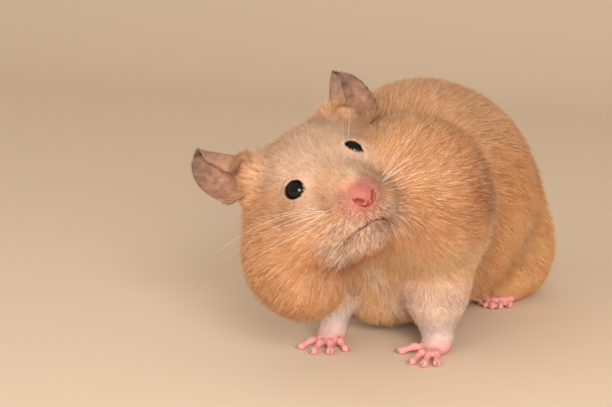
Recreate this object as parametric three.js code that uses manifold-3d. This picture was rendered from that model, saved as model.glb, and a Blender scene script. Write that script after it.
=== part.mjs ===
// Golden hamster with full cheek pouches, standing on all fours with its head turned to its left and
// tipped over to its right: a still, life-size model. Millimetres, +Z up, the animal faces -Y, so +X is
// its left. Every solid reaches out to the tips of the coat.
//
// Each region of the body is a field: a function that is negative inside the animal and positive
// outside it. Soft masses are blended into one field, and a skin is cast over the field by rays that
// leave an axis inside it. Thin cuts then part the whole into the pieces that a person would name.
import * as THREE from "three";
import { mergeVertices } from "three/addons/utils/BufferGeometryUtils.js";
import Module from "manifold-3d";

const wasm = await Module();
wasm.setup();

// ---------------------------------------------------------------- driving dimensions
const GAP = 0.4; // left between neighbouring pieces
const BACK_HEIGHT = 68; // floor to the top of the arched back
const TRUNK_WIDTH = 61;
const TRUNK_LENGTH = 92; // chest to rump
const BELLY_CLEARANCE = 1.6;
const FOREPAW_SPREAD = 15.3; // from the middle plane to each forepaw
const HIND_FOOT_SPREAD = 17;
const EYE_SPREAD = 8.9; // from the middle of the face to each eye
const EYE_RADIUS = 3.2;
const SNOUT_REACH = 20; // eye line to nose tip
const EAR_LENGTH = 18;
const EAR_WIDTH = 14;
const EAR_THICKNESS = 0.9;
const TOE_RADIUS = 1.25;
const CLAW_LENGTH = 2.0;

const HEAD_PLACE = new THREE.Vector3(-8.8, -22.7, 52.8); // midway between the eyes
const HEAD_YAW = 40; // degrees, to its left
const HEAD_ROLL = 31; // degrees, crown over to its right
const HEAD_PITCH = -3; // degrees, nose up

// ---------------------------------------------------------------- small helpers
const LEFT = 1;
const RIGHT = -1;
const sideName = (side) => (side === LEFT ? "left" : "right");
const at = (x, y, z) => new THREE.Vector3(x, y, z);
const rad = THREE.MathUtils.degToRad;

const HEAD_FRAME = new THREE.Matrix4().compose(
  HEAD_PLACE,
  new THREE.Quaternion().setFromEuler(
    new THREE.Euler(rad(HEAD_PITCH), rad(-HEAD_ROLL), rad(HEAD_YAW), "ZXY"),
  ),
  at(1, 1, 1),
);
const HEAD_INVERSE = HEAD_FRAME.clone().invert();

// ---------------------------------------------------------------- fields
/** An ellipsoid about centre, turned by three angles in degrees. */
function mass(centre, radii, turn = [0, 0, 0]) {
  const toLocal = new THREE.Matrix4()
    .compose(
      centre,
      new THREE.Quaternion().setFromEuler(new THREE.Euler(...turn.map(rad))),
      at(1, 1, 1),
    )
    .invert();
  const local = new THREE.Vector3();
  return (p) => {
    local.copy(p).applyMatrix4(toLocal).divide(radii);
    const size = Math.max(local.length(), 1e-6);
    return (size * (size - 1)) / local.divide(radii).length();
  };
}

/** A limb segment from a to b whose radius runs from radiusA to radiusB. */
function limb(a, b, radiusA, radiusB) {
  const line = new THREE.Line3(a, b);
  const nearest = new THREE.Vector3();
  return (p) => {
    const along = line.closestPointToPointParameter(p, true);
    line.at(along, nearest);
    return nearest.distanceTo(p) - THREE.MathUtils.lerp(radiusA, radiusB, along);
  };
}

/** Fields joined with a fillet as wide as softness. */
const blend =
  (softness, ...fields) =>
  (p) =>
    fields
      .map((field) => field(p))
      .reduce((a, b) => {
        const near = Math.max(softness - Math.abs(a - b), 0) / softness;
        return Math.min(a, b) - (near * near * softness) / 4;
      });

/** A field grown outwards by a margin. */
const grown = (field, margin) => (p) => field(p) - margin;

/** A field of the body's frame, read in the head's own frame. */
const fromHead = (field) => (p) => field(p.clone().applyMatrix4(HEAD_FRAME));

/** A field of the head's own frame, read in the body's frame. */
const fromBody = (field) => (p) => field(p.clone().applyMatrix4(HEAD_INVERSE));

/** A field kept on the inner side of planes, with a margin that a later cut takes off. */
const MARGIN = 6;
const kept = (field, ...planes) => (p) =>
  Math.max(field(p), ...planes.map((plane) => plane.distanceToPoint(p) - MARGIN));

// ---------------------------------------------------------------- meshes and solids
/** A closed mesh over a field: rays fan from the axis between tail and nose, and stop at its edge. */
function castSkin(field, tail, nose, rings, spokes) {
  const axis = nose.clone().sub(tail);
  const ahead = axis.clone().normalize();
  const across = at(1, 0, 0).cross(ahead).length() > 0.3 ? at(1, 0, 0) : at(0, 0, 1);
  const sideways = ahead.clone().cross(across).normalize();
  const upwards = ahead.clone().cross(sideways);
  const exit = (origin, ray) => {
    const reached = (distance) => ray.clone().multiplyScalar(distance).add(origin);
    if (field(origin) >= 0) throw new Error("a skin's axis leaves its body");
    let inside = 0;
    let outside = 0.8;
    while (field(reached(outside)) < 0) {
      inside = outside;
      outside += 0.8;
    }
    for (let halving = 0; halving < 16; halving += 1) {
      const middle = (inside + outside) / 2;
      if (field(reached(middle)) < 0) inside = middle;
      else outside = middle;
    }
    return reached(outside).toArray();
  };
  const points = [exit(tail, ahead.clone().negate())];
  for (let ring = 1; ring < rings; ring += 1) {
    const polar = (Math.PI * ring) / rings;
    const origin = axis.clone().multiplyScalar((1 - Math.cos(polar)) / 2).add(tail);
    for (let spoke = 0; spoke < spokes; spoke += 1) {
      const turn = (2 * Math.PI * spoke) / spokes;
      const ray = ahead
        .clone()
        .multiplyScalar(-Math.cos(polar))
        .addScaledVector(sideways, Math.sin(polar) * Math.cos(turn))
        .addScaledVector(upwards, Math.sin(polar) * Math.sin(turn));
      points.push(exit(origin, ray));
    }
  }
  points.push(exit(nose, ahead));
  return closedMesh(points, rings, spokes);
}

/** The mesh of a tail pole, rings of spokes, and a nose pole. */
function closedMesh(points, rings, spokes) {
  const faces = [];
  const last = points.length - 1;
  const on = (ring, spoke) => 1 + (ring - 1) * spokes + (spoke % spokes);
  for (let spoke = 0; spoke < spokes; spoke += 1) {
    faces.push(0, on(1, spoke + 1), on(1, spoke));
    for (let ring = 1; ring < rings - 1; ring += 1) {
      const [a, b] = [on(ring, spoke), on(ring, spoke + 1)];
      const [c, d] = [on(ring + 1, spoke + 1), on(ring + 1, spoke)];
      faces.push(a, b, c, a, c, d);
    }
    faces.push(last, on(rings - 1, spoke), on(rings - 1, spoke + 1));
  }
  return new THREE.BufferGeometry()
    .setAttribute("position", new THREE.Float32BufferAttribute(points.flat(), 3))
    .setIndex(faces);
}

/** A three.js geometry as a manifold-3d solid. */
function solidOf(geometry) {
  const bare = geometry.clone();
  bare.deleteAttribute("normal");
  bare.deleteAttribute("uv");
  const merged = mergeVertices(bare, 1e-4);
  const solid = new wasm.Manifold(
    new wasm.Mesh({
      numProp: 3,
      vertProperties: new Float32Array(merged.attributes.position.array),
      triVerts: new Uint32Array(merged.index.array),
    }),
  );
  if (solid.volume() < 0) throw new Error("a mesh is inside out");
  return solid;
}

/** A manifold-3d solid as a three.js geometry. */
function geometryOf(solid) {
  const mesh = solid.getMesh();
  const geometry = new THREE.BufferGeometry()
    .setAttribute("position", new THREE.BufferAttribute(mesh.vertProperties, 3))
    .setIndex(new THREE.BufferAttribute(mesh.triVerts, 1))
    .toNonIndexed();
  geometry.computeVertexNormals();
  return geometry;
}

/** A solid without what lies beyond a plane, less half the gap. */
const BEYOND = 300;
function trimmed(solid, plane) {
  const block = new THREE.BoxGeometry(BEYOND, BEYOND, BEYOND);
  const turn = new THREE.Quaternion().setFromUnitVectors(at(0, 0, 1), plane.normal);
  const centre = plane.normal.clone().multiplyScalar(BEYOND / 2 - GAP / 2 - plane.constant);
  block.applyMatrix4(new THREE.Matrix4().compose(centre, turn, at(1, 1, 1)));
  return solid.subtract(solidOf(block));
}

/** The plane through a point, with what is kept on the side away from its normal. */
const cut = (point, normal) =>
  new THREE.Plane().setFromNormalAndCoplanarPoint(normal.clone().normalize(), point);
const otherSide = (plane) => plane.clone().negate();

/** A foot with its sole cut flat at the level of the floor. */
const onFloor = (solid) => trimmed(solid, new THREE.Plane(at(0, 0, -1), -GAP / 2));

// ---------------------------------------------------------------- fields of the trunk and limbs
const DEPTH = BACK_HEIGHT - BELLY_CLEARANCE;
const MIDDLE = BELLY_CLEARANCE + DEPTH / 2;
const HALF = TRUNK_WIDTH / 2;

const trunkField = blend(
  9,
  mass(at(-1, 44, MIDDLE), at(HALF, TRUNK_LENGTH / 2 - 3, DEPTH / 2)),
  mass(at(0, 68, 28.5), at(HALF - 2, 25, 26.5)),
  mass(at(-7, 18, 30), at(23, 20, 28.5)),
  mass(at(-3, 26, 44), at(20, 20, 22.5)),
);
const haunchField = (side) => mass(at(side * 18, 67, 18), at(12.2, 19, 17), [0, 0, side * -8]);
const neckField = limb(at(-15, -9, 46), at(-4, 18, 38), 12.5, 24);

// ---------------------------------------------------------------- fields of the head, in its own frame
const skullField = mass(at(0, 12.5, -3.6), at(15.6, 16, 13.7));
const browField = limb(at(0, 6, -4), at(0.6, -13, -6.2), 10.6, 6.4);
const noseField = mass(at(0.9, -SNOUT_REACH + 2.9, -5.2), at(3.3, 3, 2.8));
const lipField = (side) => mass(at(side * 3.8, -11.8, -10.8), at(5.2, 5.8, 4.8));
const chinField = mass(at(-1.2, -7, -16.8), at(6.4, 8, 4.8));
const cheekField = (side) => mass(at(side * 10.5, 4, -11), at(8.5, 12, 9.5));
const POUCHES = {
  [LEFT]: { centre: at(21.6, 7, -21.2), radii: at(18.5, 20, 21.5) },
  [RIGHT]: { centre: at(-17.8, 8.5, -18.5), radii: at(13.5, 17, 16) },
};
const pouchField = (side) => mass(POUCHES[side].centre, POUCHES[side].radii);
const faceField = blend(
  4,
  blend(7, skullField, browField, cheekField(LEFT), cheekField(RIGHT)),
  lipField(LEFT),
  lipField(RIGHT),
  chinField,
);
const wholeHeadField = blend(7, faceField, pouchField(LEFT), pouchField(RIGHT));

// ---------------------------------------------------------------- the cuts
const HEAD_CUT = cut(at(0, 19, -6), at(0, 1, 0)); // head from neck, in the head's frame
const NECK_CUT = cut(at(-6, 8, 40), at(0.35, 0.9, -0.45)); // neck from trunk
const pouchCut = (side) => cut(at(side * 11.5, 0, -14), at(side * 1, 0.18, -0.62));
const NOSE_CUT = cut(at(0, -SNOUT_REACH + 3.6, -5.2), at(0, -1, 0.1));

// ---------------------------------------------------------------- pieces of the head, in its own frame
function eyeball(side, margin = 0) {
  return new THREE.SphereGeometry(EYE_RADIUS + margin, 14, 10).translate(side * EYE_SPREAD, 0.6, 0);
}

function head() {
  const field = kept(
    blend(2.2, wholeHeadField, noseField),
    HEAD_CUT,
    pouchCut(LEFT),
    pouchCut(RIGHT),
  );
  let solid = solidOf(castSkin(field, at(0, 12, -5), at(0, -12, -8), 24, 28));
  for (const plane of [HEAD_CUT, pouchCut(LEFT), pouchCut(RIGHT), NOSE_CUT]) {
    solid = trimmed(solid, plane);
  }
  for (const side of [LEFT, RIGHT]) {
    solid = solid.subtract(solidOf(eyeball(side, GAP)));
  }
  return solid;
}

function nose() {
  const field = kept(blend(2.2, faceField, noseField), otherSide(NOSE_CUT));
  const heart = at(0.9, -SNOUT_REACH + 3, -5.2);
  const whole = castSkin(field, heart, heart.clone().add(at(0, -0.5, 0)), 10, 16);
  return trimmed(solidOf(whole), otherSide(NOSE_CUT));
}

function cheekPouch(side) {
  const { centre } = POUCHES[side];
  const behind = centre.clone().add(at(0, 3, 0));
  const before = centre.clone().add(at(0, -3, 0));
  const field = kept(wholeHeadField, otherSide(pouchCut(side)));
  return trimmed(solidOf(castSkin(field, behind, before, 14, 18)), otherSide(pouchCut(side)));
}

/** An ear: a cupped leaf whose tip leans to the middle of the head, as two sheets joined at the rim. */
function ear(side) {
  const rows = 8;
  const columns = 8;
  const across = columns + 1;
  const point = (row, column, depth) => {
    const up = row / rows;
    const swell = 0.46 + 0.54 * Math.sin(Math.PI * Math.min(0.5, 0.1 + up));
    const taper = Math.sqrt(1 - 0.97 * Math.max(0, (up - 0.4) / 0.6) ** 2.2);
    const cup = rad(THREE.MathUtils.lerp(82, 38, up));
    const radius = (EAR_WIDTH / 2) * swell * taper / Math.sin(cup);
    const angle = ((2 * column) / columns - 1) * cup;
    return [
      side * ((radius + depth) * Math.sin(angle) + 1.4 * up * up),
      radius * Math.cos(cup) - (radius + depth) * Math.cos(angle),
      EAR_LENGTH * up,
    ];
  };
  const places = Array.from({ length: (rows + 1) * across }, (_, i) => [Math.floor(i / across), i % across]);
  const sheet = (depth) => places.map(([row, column]) => point(row, column, depth));
  const points = [...sheet(0), ...sheet(EAR_THICKNESS)];
  const back = (rows + 1) * across;
  const faces = [];
  const quad = (a, b, c, d) => faces.push(...(side === LEFT ? [a, c, b, a, d, c] : [a, b, c, a, c, d]));
  for (let row = 0; row < rows; row += 1) {
    for (let column = 0; column < columns; column += 1) {
      const a = row * across + column;
      quad(a, a + 1, a + across + 1, a + across);
      quad(back + a, back + a + across, back + a + across + 1, back + a + 1);
    }
    const near = row * across;
    const far = near + columns;
    quad(near, near + across, back + near + across, back + near);
    quad(far, back + far, back + far + across, far + across);
  }
  for (let column = 0; column < columns; column += 1) {
    const tip = rows * across + column;
    quad(column, back + column, back + column + 1, column + 1);
    quad(tip, tip + 1, back + tip + 1, back + tip);
  }
  return new THREE.BufferGeometry()
    .setAttribute("position", new THREE.Float32BufferAttribute(points.flat(), 3))
    .setIndex(faces);
}

/** The ear set on the head, laid back, its hollow turned forwards and outwards. */
function placedEar(side, skin) {
  const lengthwise = at(side * 0.46, 0.72, 0.5).normalize();
  const opening = at(side * 0.4, -0.7, 0.6);
  const widthwise = opening.clone().cross(lengthwise).normalize();
  const frame = new THREE.Matrix4()
    .makeBasis(widthwise, lengthwise.clone().cross(widthwise), lengthwise)
    .setPosition(side * 14.8, 9.5, 4.8);
  return solidOf(ear(side).applyMatrix4(frame)).subtract(skin);
}

// ---------------------------------------------------------------- pieces of the body
/** The room that the body leaves for a cheek pouch, in the body's frame. */
function pouchRoom(side) {
  const { centre } = POUCHES[side];
  const behind = centre.clone().add(at(0, 3, 0));
  const before = centre.clone().add(at(0, -3, 0));
  const field = kept(grown(wholeHeadField, GAP), otherSide(pouchCut(side)));
  return solidOf(castSkin(field, behind, before, 14, 18).applyMatrix4(HEAD_FRAME));
}

const bodyField = blend(14, trunkField, neckField, fromBody(faceField));

function trunk() {
  const field = kept(bodyField, otherSide(NECK_CUT));
  const solid = solidOf(castSkin(field, at(0, 20, 34), at(0, 76, 32), 22, 26));
  return trimmed(solid, otherSide(NECK_CUT));
}

function neck() {
  const headCut = HEAD_CUT.clone().applyMatrix4(HEAD_FRAME);
  const field = kept(bodyField, NECK_CUT, otherSide(headCut));
  const solid = solidOf(castSkin(field, at(-17, -2, 44), at(-9, 5, 41), 16, 24));
  return trimmed(trimmed(solid, NECK_CUT), otherSide(headCut));
}

function haunch(side, margin = 0) {
  const field = grown(haunchField(side), margin);
  return solidOf(castSkin(field, at(side * 18, 60, 18), at(side * 18, 74, 18), 11, 16));
}

const FORELEGS = {
  [LEFT]: {
    shoulder: at(11.4, 10, 28),
    elbow: at(13, 5, 17),
    wrist: at(FOREPAW_SPREAD - 0.7, 3, 4.6),
    girths: [13, 8.8, 4.4],
  },
  [RIGHT]: {
    shoulder: at(-14, 10, 28),
    elbow: at(-15.4, 5, 15),
    wrist: at(-FOREPAW_SPREAD, 1, 4.4),
    girths: [11, 5.6, 3.7],
  },
};

function foreleg(side) {
  const { shoulder, elbow, wrist, girths } = FORELEGS[side];
  const upperArm = limb(shoulder, elbow, girths[0], girths[1]);
  const forearm = limb(elbow, wrist, girths[1], girths[2]);
  const field = blend(4, upperArm, forearm);
  const plane = cut(wrist, wrist.clone().sub(elbow));
  return trimmed(solidOf(castSkin(kept(field, plane), shoulder, wrist, 14, 14)), plane);
}

/** A toe that arches from its root to a tip on the floor and ends in a claw. */
function toe(root, tip) {
  const knuckle = root.clone().lerp(tip, 0.5);
  knuckle.z = Math.max(root.z, TOE_RADIUS * 1.5);
  const near = limb(root, knuckle, TOE_RADIUS * 1.1, TOE_RADIUS);
  const far = limb(knuckle, tip, TOE_RADIUS, TOE_RADIUS * 0.9);
  const field = blend(1, near, far);
  const flesh = solidOf(castSkin(field, root, tip, 5, 6));
  const forward = tip.clone().sub(root).setZ(-0.25 * tip.distanceTo(root)).normalize();
  const claw = new THREE.ConeGeometry(0.42, CLAW_LENGTH, 4).translate(0, CLAW_LENGTH / 2, 0);
  claw.applyQuaternion(new THREE.Quaternion().setFromUnitVectors(at(0, 1, 0), forward));
  const base = tip.clone().addScaledVector(forward, TOE_RADIUS * 0.5).add(at(0, 0, 0.35));
  claw.translate(base.x, base.y, base.z);
  return flesh.add(solidOf(claw));
}

const TOE_FANS = {
  [LEFT]: [66, 14, -3, -19],
  [RIGHT]: [50, 20, -4, -34],
}; // degrees, each toe turned towards the middle of the body
const TOE_REACHES = [8.6, 10.2, 10.8, 9.6];

function forepaw(side) {
  const { elbow, wrist, girths } = FORELEGS[side];
  const palm = wrist.clone().add(at(0, -2.2, -2.4));
  const forearm = limb(elbow, wrist, girths[1], girths[2]);
  const heelOfHand = limb(wrist, palm, girths[2], 3);
  const plane = otherSide(cut(wrist, wrist.clone().sub(elbow)));
  const field = kept(blend(2.5, mass(palm, at(4.5, 4.6, 2.7)), forearm, heelOfHand), plane);
  const wristCentre = wrist.clone().add(at(0, 0, -0.6));
  let solid = trimmed(solidOf(castSkin(field, wristCentre, palm, 8, 12)), plane);
  TOE_FANS[side].forEach((inward, digit) => {
    const turn = rad(inward) * side;
    const forward = at(-Math.sin(turn), -Math.cos(turn), 0);
    const root = palm.clone().addScaledVector(forward, 2.6).setZ(1.6);
    const tip = palm.clone().addScaledVector(forward, TOE_REACHES[digit]).setZ(TOE_RADIUS * 0.75);
    solid = solid.add(toe(root, tip));
  });
  return onFloor(solid);
}

const HIND_TOE_FAN = [20, 9, 0, -9, -22];
const HIND_TOE_REACHES = [9.5, 11.2, 11.8, 11.2, 9.2];

function hindFoot(side) {
  const ball = at(side * HIND_FOOT_SPREAD, 62, 2);
  const heel = at(side * (HIND_FOOT_SPREAD + 1), 74, 2.6);
  const field = blend(2, mass(ball, at(4.6, 5, 2.8)), limb(ball, heel, 3, 3));
  let solid = solidOf(castSkin(field, heel, ball, 8, 10));
  HIND_TOE_FAN.forEach((inward, digit) => {
    const turn = rad(inward) * side;
    const forward = at(-Math.sin(turn), -Math.cos(turn), 0);
    const root = ball.clone().addScaledVector(forward, 3.4).setZ(1.6);
    root.x += side * (digit - 2) * 1.3;
    const tip = ball.clone().addScaledVector(forward, HIND_TOE_REACHES[digit]).setZ(TOE_RADIUS * 0.75);
    tip.x += side * (digit - 2) * 0.5;
    solid = solid.add(toe(root, tip));
  });
  return onFloor(solid);
}

function tail() {
  const field = limb(at(0, 88, 20), at(0, 100, 14.5), 3.2, 1.7);
  return solidOf(castSkin(field, at(0, 89, 19.6), at(0, 99, 15), 8, 10));
}

// ---------------------------------------------------------------- the model
const FINISHES = {
  coat: { color: 0xd9a06a, roughness: 0.9 },
  paleCoat: { color: 0xe9cdb2, roughness: 0.9 },
  bareSkin: { color: 0xe0958a, roughness: 0.55 },
  earSkin: { color: 0xa98472, roughness: 0.6 },
  eye: { color: 0x0b0908, roughness: 0.08 },
};

/** A named mesh of one solid or geometry. */
function piece(name, shape, finish) {
  const geometry = shape.isBufferGeometry ? shape : geometryOf(shape);
  const material = new THREE.MeshStandardMaterial({ ...FINISHES[finish], metalness: 0 });
  const mesh = new THREE.Mesh(geometry, material);
  mesh.name = name;
  return mesh;
}

const animal = new THREE.Group();
const headGroup = new THREE.Group();
headGroup.applyMatrix4(HEAD_FRAME);
animal.add(headGroup);

const headRoom = solidOf(
  castSkin(grown(kept(wholeHeadField, HEAD_CUT), GAP), at(0, 12, -5), at(0, -12, -8), 24, 28),
);
headGroup.add(piece("head", head(), "coat"), piece("nose", nose(), "bareSkin"));
for (const side of [LEFT, RIGHT]) {
  headGroup.add(
    piece(`cheek_pouch_${sideName(side)}`, cheekPouch(side), "coat"),
    piece(`ear_${sideName(side)}`, placedEar(side, headRoom), "earSkin"),
    piece(`eye_${sideName(side)}`, eyeball(side), "eye"),
  );
}

const pouchRooms = pouchRoom(LEFT).add(pouchRoom(RIGHT));
const haunchRooms = haunch(LEFT, GAP).add(haunch(RIGHT, GAP));
const trunkRoom = solidOf(castSkin(grown(bodyField, GAP), at(0, 20, 34), at(0, 76, 32), 22, 26));
animal.add(
  piece("trunk", trunk().subtract(pouchRooms).subtract(haunchRooms), "coat"),
  piece("neck", neck().subtract(pouchRooms), "coat"),
  piece("tail", tail().subtract(trunkRoom), "bareSkin"),
);
for (const side of [LEFT, RIGHT]) {
  const name = sideName(side);
  const leg = foreleg(side).subtract(pouchRooms).subtract(trunkRoom);
  const foot = hindFoot(side).subtract(haunchRooms).subtract(trunkRoom);
  animal.add(
    piece(`foreleg_${name}`, leg, "paleCoat"),
    piece(`forepaw_${name}`, forepaw(side), "bareSkin"),
    piece(`haunch_${name}`, haunch(side), "coat"),
    piece(`hind_foot_${name}`, foot, "bareSkin"),
  );
}

// The origin is the middle of the whole box, at the floor.
const box = new THREE.Box3().setFromObject(animal, true);
const middle = box.getCenter(at(0, 0, 0));
animal.position.set(-middle.x, -middle.y, -box.min.z);
const hamster = new THREE.Group();
hamster.add(animal);

export default hamster;
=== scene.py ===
"""A still, life-size golden hamster with full cheek pouches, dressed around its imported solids.

Lengths inside the classes are millimetres in the body frame: the animal faces -Y, its left is +X, the
floor is z = 0 and the origin lies midway between the fore feet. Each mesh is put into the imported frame,
in metres, as it is made.
"""

import sys
import logging
import math
from dataclasses import dataclass, field
from enum import Enum, IntEnum
from itertools import chain
from typing import Callable, Iterator, Sequence

import bmesh
import bpy
import numpy as np
from mathutils import Matrix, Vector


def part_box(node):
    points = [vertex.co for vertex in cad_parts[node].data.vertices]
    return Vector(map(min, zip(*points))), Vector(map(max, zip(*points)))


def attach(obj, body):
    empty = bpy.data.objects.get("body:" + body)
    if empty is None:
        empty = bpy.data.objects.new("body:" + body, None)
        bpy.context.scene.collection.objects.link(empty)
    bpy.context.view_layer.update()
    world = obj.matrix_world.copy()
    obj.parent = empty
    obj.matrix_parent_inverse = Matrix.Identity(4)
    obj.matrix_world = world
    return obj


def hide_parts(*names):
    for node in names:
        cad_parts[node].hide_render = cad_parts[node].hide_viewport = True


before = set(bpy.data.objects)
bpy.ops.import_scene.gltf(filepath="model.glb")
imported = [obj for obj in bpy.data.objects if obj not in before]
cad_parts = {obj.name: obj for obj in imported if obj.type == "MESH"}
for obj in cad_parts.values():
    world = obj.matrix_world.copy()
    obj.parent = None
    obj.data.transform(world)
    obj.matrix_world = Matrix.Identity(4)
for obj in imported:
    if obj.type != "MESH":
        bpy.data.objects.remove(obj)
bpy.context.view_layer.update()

log = logging.getLogger("hamster")

Array = np.ndarray
Triple = tuple[float, float, float]
Path2D = tuple[tuple[float, float], ...]
Distance = Callable[[Array], Array]
Patches = Iterator[tuple[Triple, Array]]
LEFT, RIGHT = 1, -1
METRES = 0.001
FAR = 40.0


def side_name(side: int) -> str:
    """The word for a side of the animal."""
    return "left" if side == LEFT else "right"


def unit(vectors: Array) -> Array:
    """Vectors of length one along the last axis."""
    return vectors / np.maximum(np.linalg.norm(vectors, axis=-1, keepdims=True), 1e-9)


def fade(value: Array, low: float, high: float) -> Array:
    """A smooth ramp: 0 at low, 1 at high, with 3t^2 - 2t^3 between them."""
    t = np.clip((value - low) / (high - low), 0.0, 1.0)
    return t * t * (3.0 - 2.0 * t)


# ------------------------------------------------------------------------------------ placing


@dataclass(frozen=True)
class HeadPose:
    """Where the head is held: turned to its left, crown tipped over to its right.

    Head lengths run from the point midway between the eyes, x to the animal's left, y backwards, z to
    the crown.
    """

    place: Triple = (-8.8, -22.7, 52.8)
    yaw: float = 40.0
    roll: float = 31.0
    pitch: float = -3.0

    def turn(self) -> Array:
        """The head's axes as the columns of a matrix: a turn about Z, then X, then Y."""
        a, b, c = np.radians([self.pitch, -self.roll, self.yaw])
        about_x = np.array([[1, 0, 0], [0, np.cos(a), -np.sin(a)], [0, np.sin(a), np.cos(a)]])
        about_y = np.array([[np.cos(b), 0, np.sin(b)], [0, 1, 0], [-np.sin(b), 0, np.cos(b)]])
        about_z = np.array([[np.cos(c), -np.sin(c), 0], [np.sin(c), np.cos(c), 0], [0, 0, 1]])
        return about_z @ about_x @ about_y

    def to_head(self, points: Array) -> Array:
        """Body points, read in the head's frame."""
        return (points - np.array(self.place)) @ self.turn()

    def to_body(self, points: Array) -> Array:
        """Head points, read in the body's frame."""
        return points @ self.turn().T + np.array(self.place)


HEAD = HeadPose()
EYE_RADIUS = 3.2
SOLID_EYE = (8.9, 0.6, 0.0)


def body_origin() -> Array:
    """The body frame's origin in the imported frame, in metres, found from where the left eye is."""
    low, high = (np.array(corner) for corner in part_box("eye_left"))
    eye = HEAD.to_body(np.array([SOLID_EYE]))[0]
    return (low + high) / 2 - eye * METRES


@dataclass(frozen=True)
class EyeSet:
    """How an eye sits in the head: its centre, where its opening faces, and the opening's half widths.

    The tear corner lies towards corner, corner_at from the ball's axis. The left eye, pushed up by the
    fuller pouch, is narrowed to a slit.
    """

    place: Triple
    faces: Triple
    slit: Triple
    long_half: float
    short_half: float
    corner: Triple
    corner_at: float

    @property
    def centre(self) -> Array:
        """The ball's centre, in head lengths."""
        return np.array(self.place)

    def axes(self) -> tuple[Array, Array, Array]:
        """Directions out of the eye, along the slit and across it."""
        out = unit(np.array(self.faces))
        slit = np.array(self.slit)
        along = unit(slit - (slit @ out) * out)
        return out, along, np.cross(out, along)

    def gap(self, q: Array) -> Array:
        """Distance of head points from the centre of the ball."""
        return np.linalg.norm(q - self.centre, axis=1)

    def opening(self, q: Array) -> Array:
        """Distance from the edge of the opening, negative inside it: an oval carried along its axis."""
        out, along, across = self.axes()
        offset = q - self.centre
        oval = np.hypot(offset @ along / self.long_half, offset @ across / self.short_half)
        edge = (oval - 1.0) * (self.long_half + self.short_half) / 2
        toward = np.array(self.corner)
        toward = unit(toward - (toward @ out) * out)
        tear = np.hypot((offset @ toward - self.corner_at) / 1.2, offset @ np.cross(out, toward) / 0.5)
        edge = blend(0.7, edge, (tear - 1.0) * 0.7)
        return np.where(offset @ out > 0.2, edge, FAR)


EYES = {
    LEFT: EyeSet(
        place=(9.1, -0.5, 0.4), faces=(0.065, -0.80, 0.595), slit=(0.37, -0.34, -0.86),
        long_half=2.2, short_half=1.4, corner=(0.37, -0.34, -0.86), corner_at=1.5,
    ),
    RIGHT: EyeSet(
        place=(-8.6, -0.75, 0.1), faces=(-0.40, -0.72, 0.57), slit=(-0.37, -0.34, -0.86),
        long_half=2.4, short_half=2.8, corner=(0.82, -0.31, -0.5), corner_at=2.2,
    ),
}

ORIGIN = body_origin()


def packed(points: Array) -> Array:
    """Body points in millimetres, as packed points in metres."""
    return points * METRES + ORIGIN


# ------------------------------------------------------------------------------------ fields


@dataclass(frozen=True)
class Mass:
    """A soft mass: an ellipsoid about a centre, turned about the vertical."""

    centre: Triple
    radii: Triple
    turn: float = 0.0

    def distance(self, points: Array) -> Array:
        """Distance to the surface: k(k-1)/g, where k is the length of the point scaled by the radii."""
        local = points - np.array(self.centre)
        if self.turn:
            c, s = math.cos(math.radians(self.turn)), math.sin(math.radians(self.turn))
            local = local @ np.array([[c, -s, 0.0], [s, c, 0.0], [0.0, 0.0, 1.0]])
        local = local / np.array(self.radii)
        size = np.maximum(np.sqrt((local * local).sum(axis=1)), 1e-6)
        local /= np.array(self.radii)
        return size * (size - 1.0) / np.maximum(np.sqrt((local * local).sum(axis=1)), 1e-9)


@dataclass(frozen=True)
class Limb:
    """A round segment from start to end whose radius runs evenly between two values."""

    start: Triple
    end: Triple
    start_radius: float
    end_radius: float

    def distance(self, points: Array) -> Array:
        """Distance to the nearest point of the axis, less the radius there."""
        start = np.array(self.start)
        axis = np.array(self.end) - start
        offset = points - start
        along = np.clip(offset @ axis / (axis @ axis), 0.0, 1.0)
        away = offset - along[:, None] * axis
        radius = self.start_radius + (self.end_radius - self.start_radius) * along
        return np.sqrt((away * away).sum(axis=1)) - radius


def blend(softness: float, *distances: Array) -> Array:
    """Joined distances: the smaller of each pair, less a fillet h^2 * softness / 4 where they are close."""
    joined = distances[0]
    for other in distances[1:]:
        near = np.maximum(softness - np.abs(joined - other), 0.0) / softness
        joined = np.minimum(joined, other) - near * near * softness / 4.0
    return joined


def within(points: Array, low: Triple, high: Triple, distance: Distance) -> Array:
    """A distance worked out only inside a box, and a large number outside it.

    Args:
        points: body points.
        low: the box's lowest corner.
        high: the box's highest corner.
        distance: the field to read inside the box.

    Returns:
        One distance for each point.
    """
    inside = np.all((points > np.array(low)) & (points < np.array(high)), axis=1)
    found = np.full(len(points), FAR)
    if inside.any():
        found[inside] = distance(points[inside])
    return found


@dataclass(frozen=True)
class Toe:
    """A toe from its root over its knuckle to its tip, in the body's frame."""

    root: Triple
    knuckle: Triple
    tip: Triple
    radius: float = 1.04

    def distance(self, points: Array) -> Array:
        """Two joined limbs with a small pad under the tip."""
        near = Limb(self.root, self.knuckle, self.radius * 1.08, self.radius * 0.86)
        far = Limb(self.knuckle, self.tip, self.radius * 0.86, self.radius * 0.8)
        pad = Mass(self.tip, (self.radius * 0.95, self.radius * 1.15, self.radius * 0.82))
        return blend(0.9, near.distance(points), far.distance(points), pad.distance(points))

    def forward(self) -> Array:
        """The level direction that the toe points in."""
        ahead = np.array(self.tip) - np.array(self.root)
        ahead[2] = 0.0
        return unit(ahead)


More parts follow.
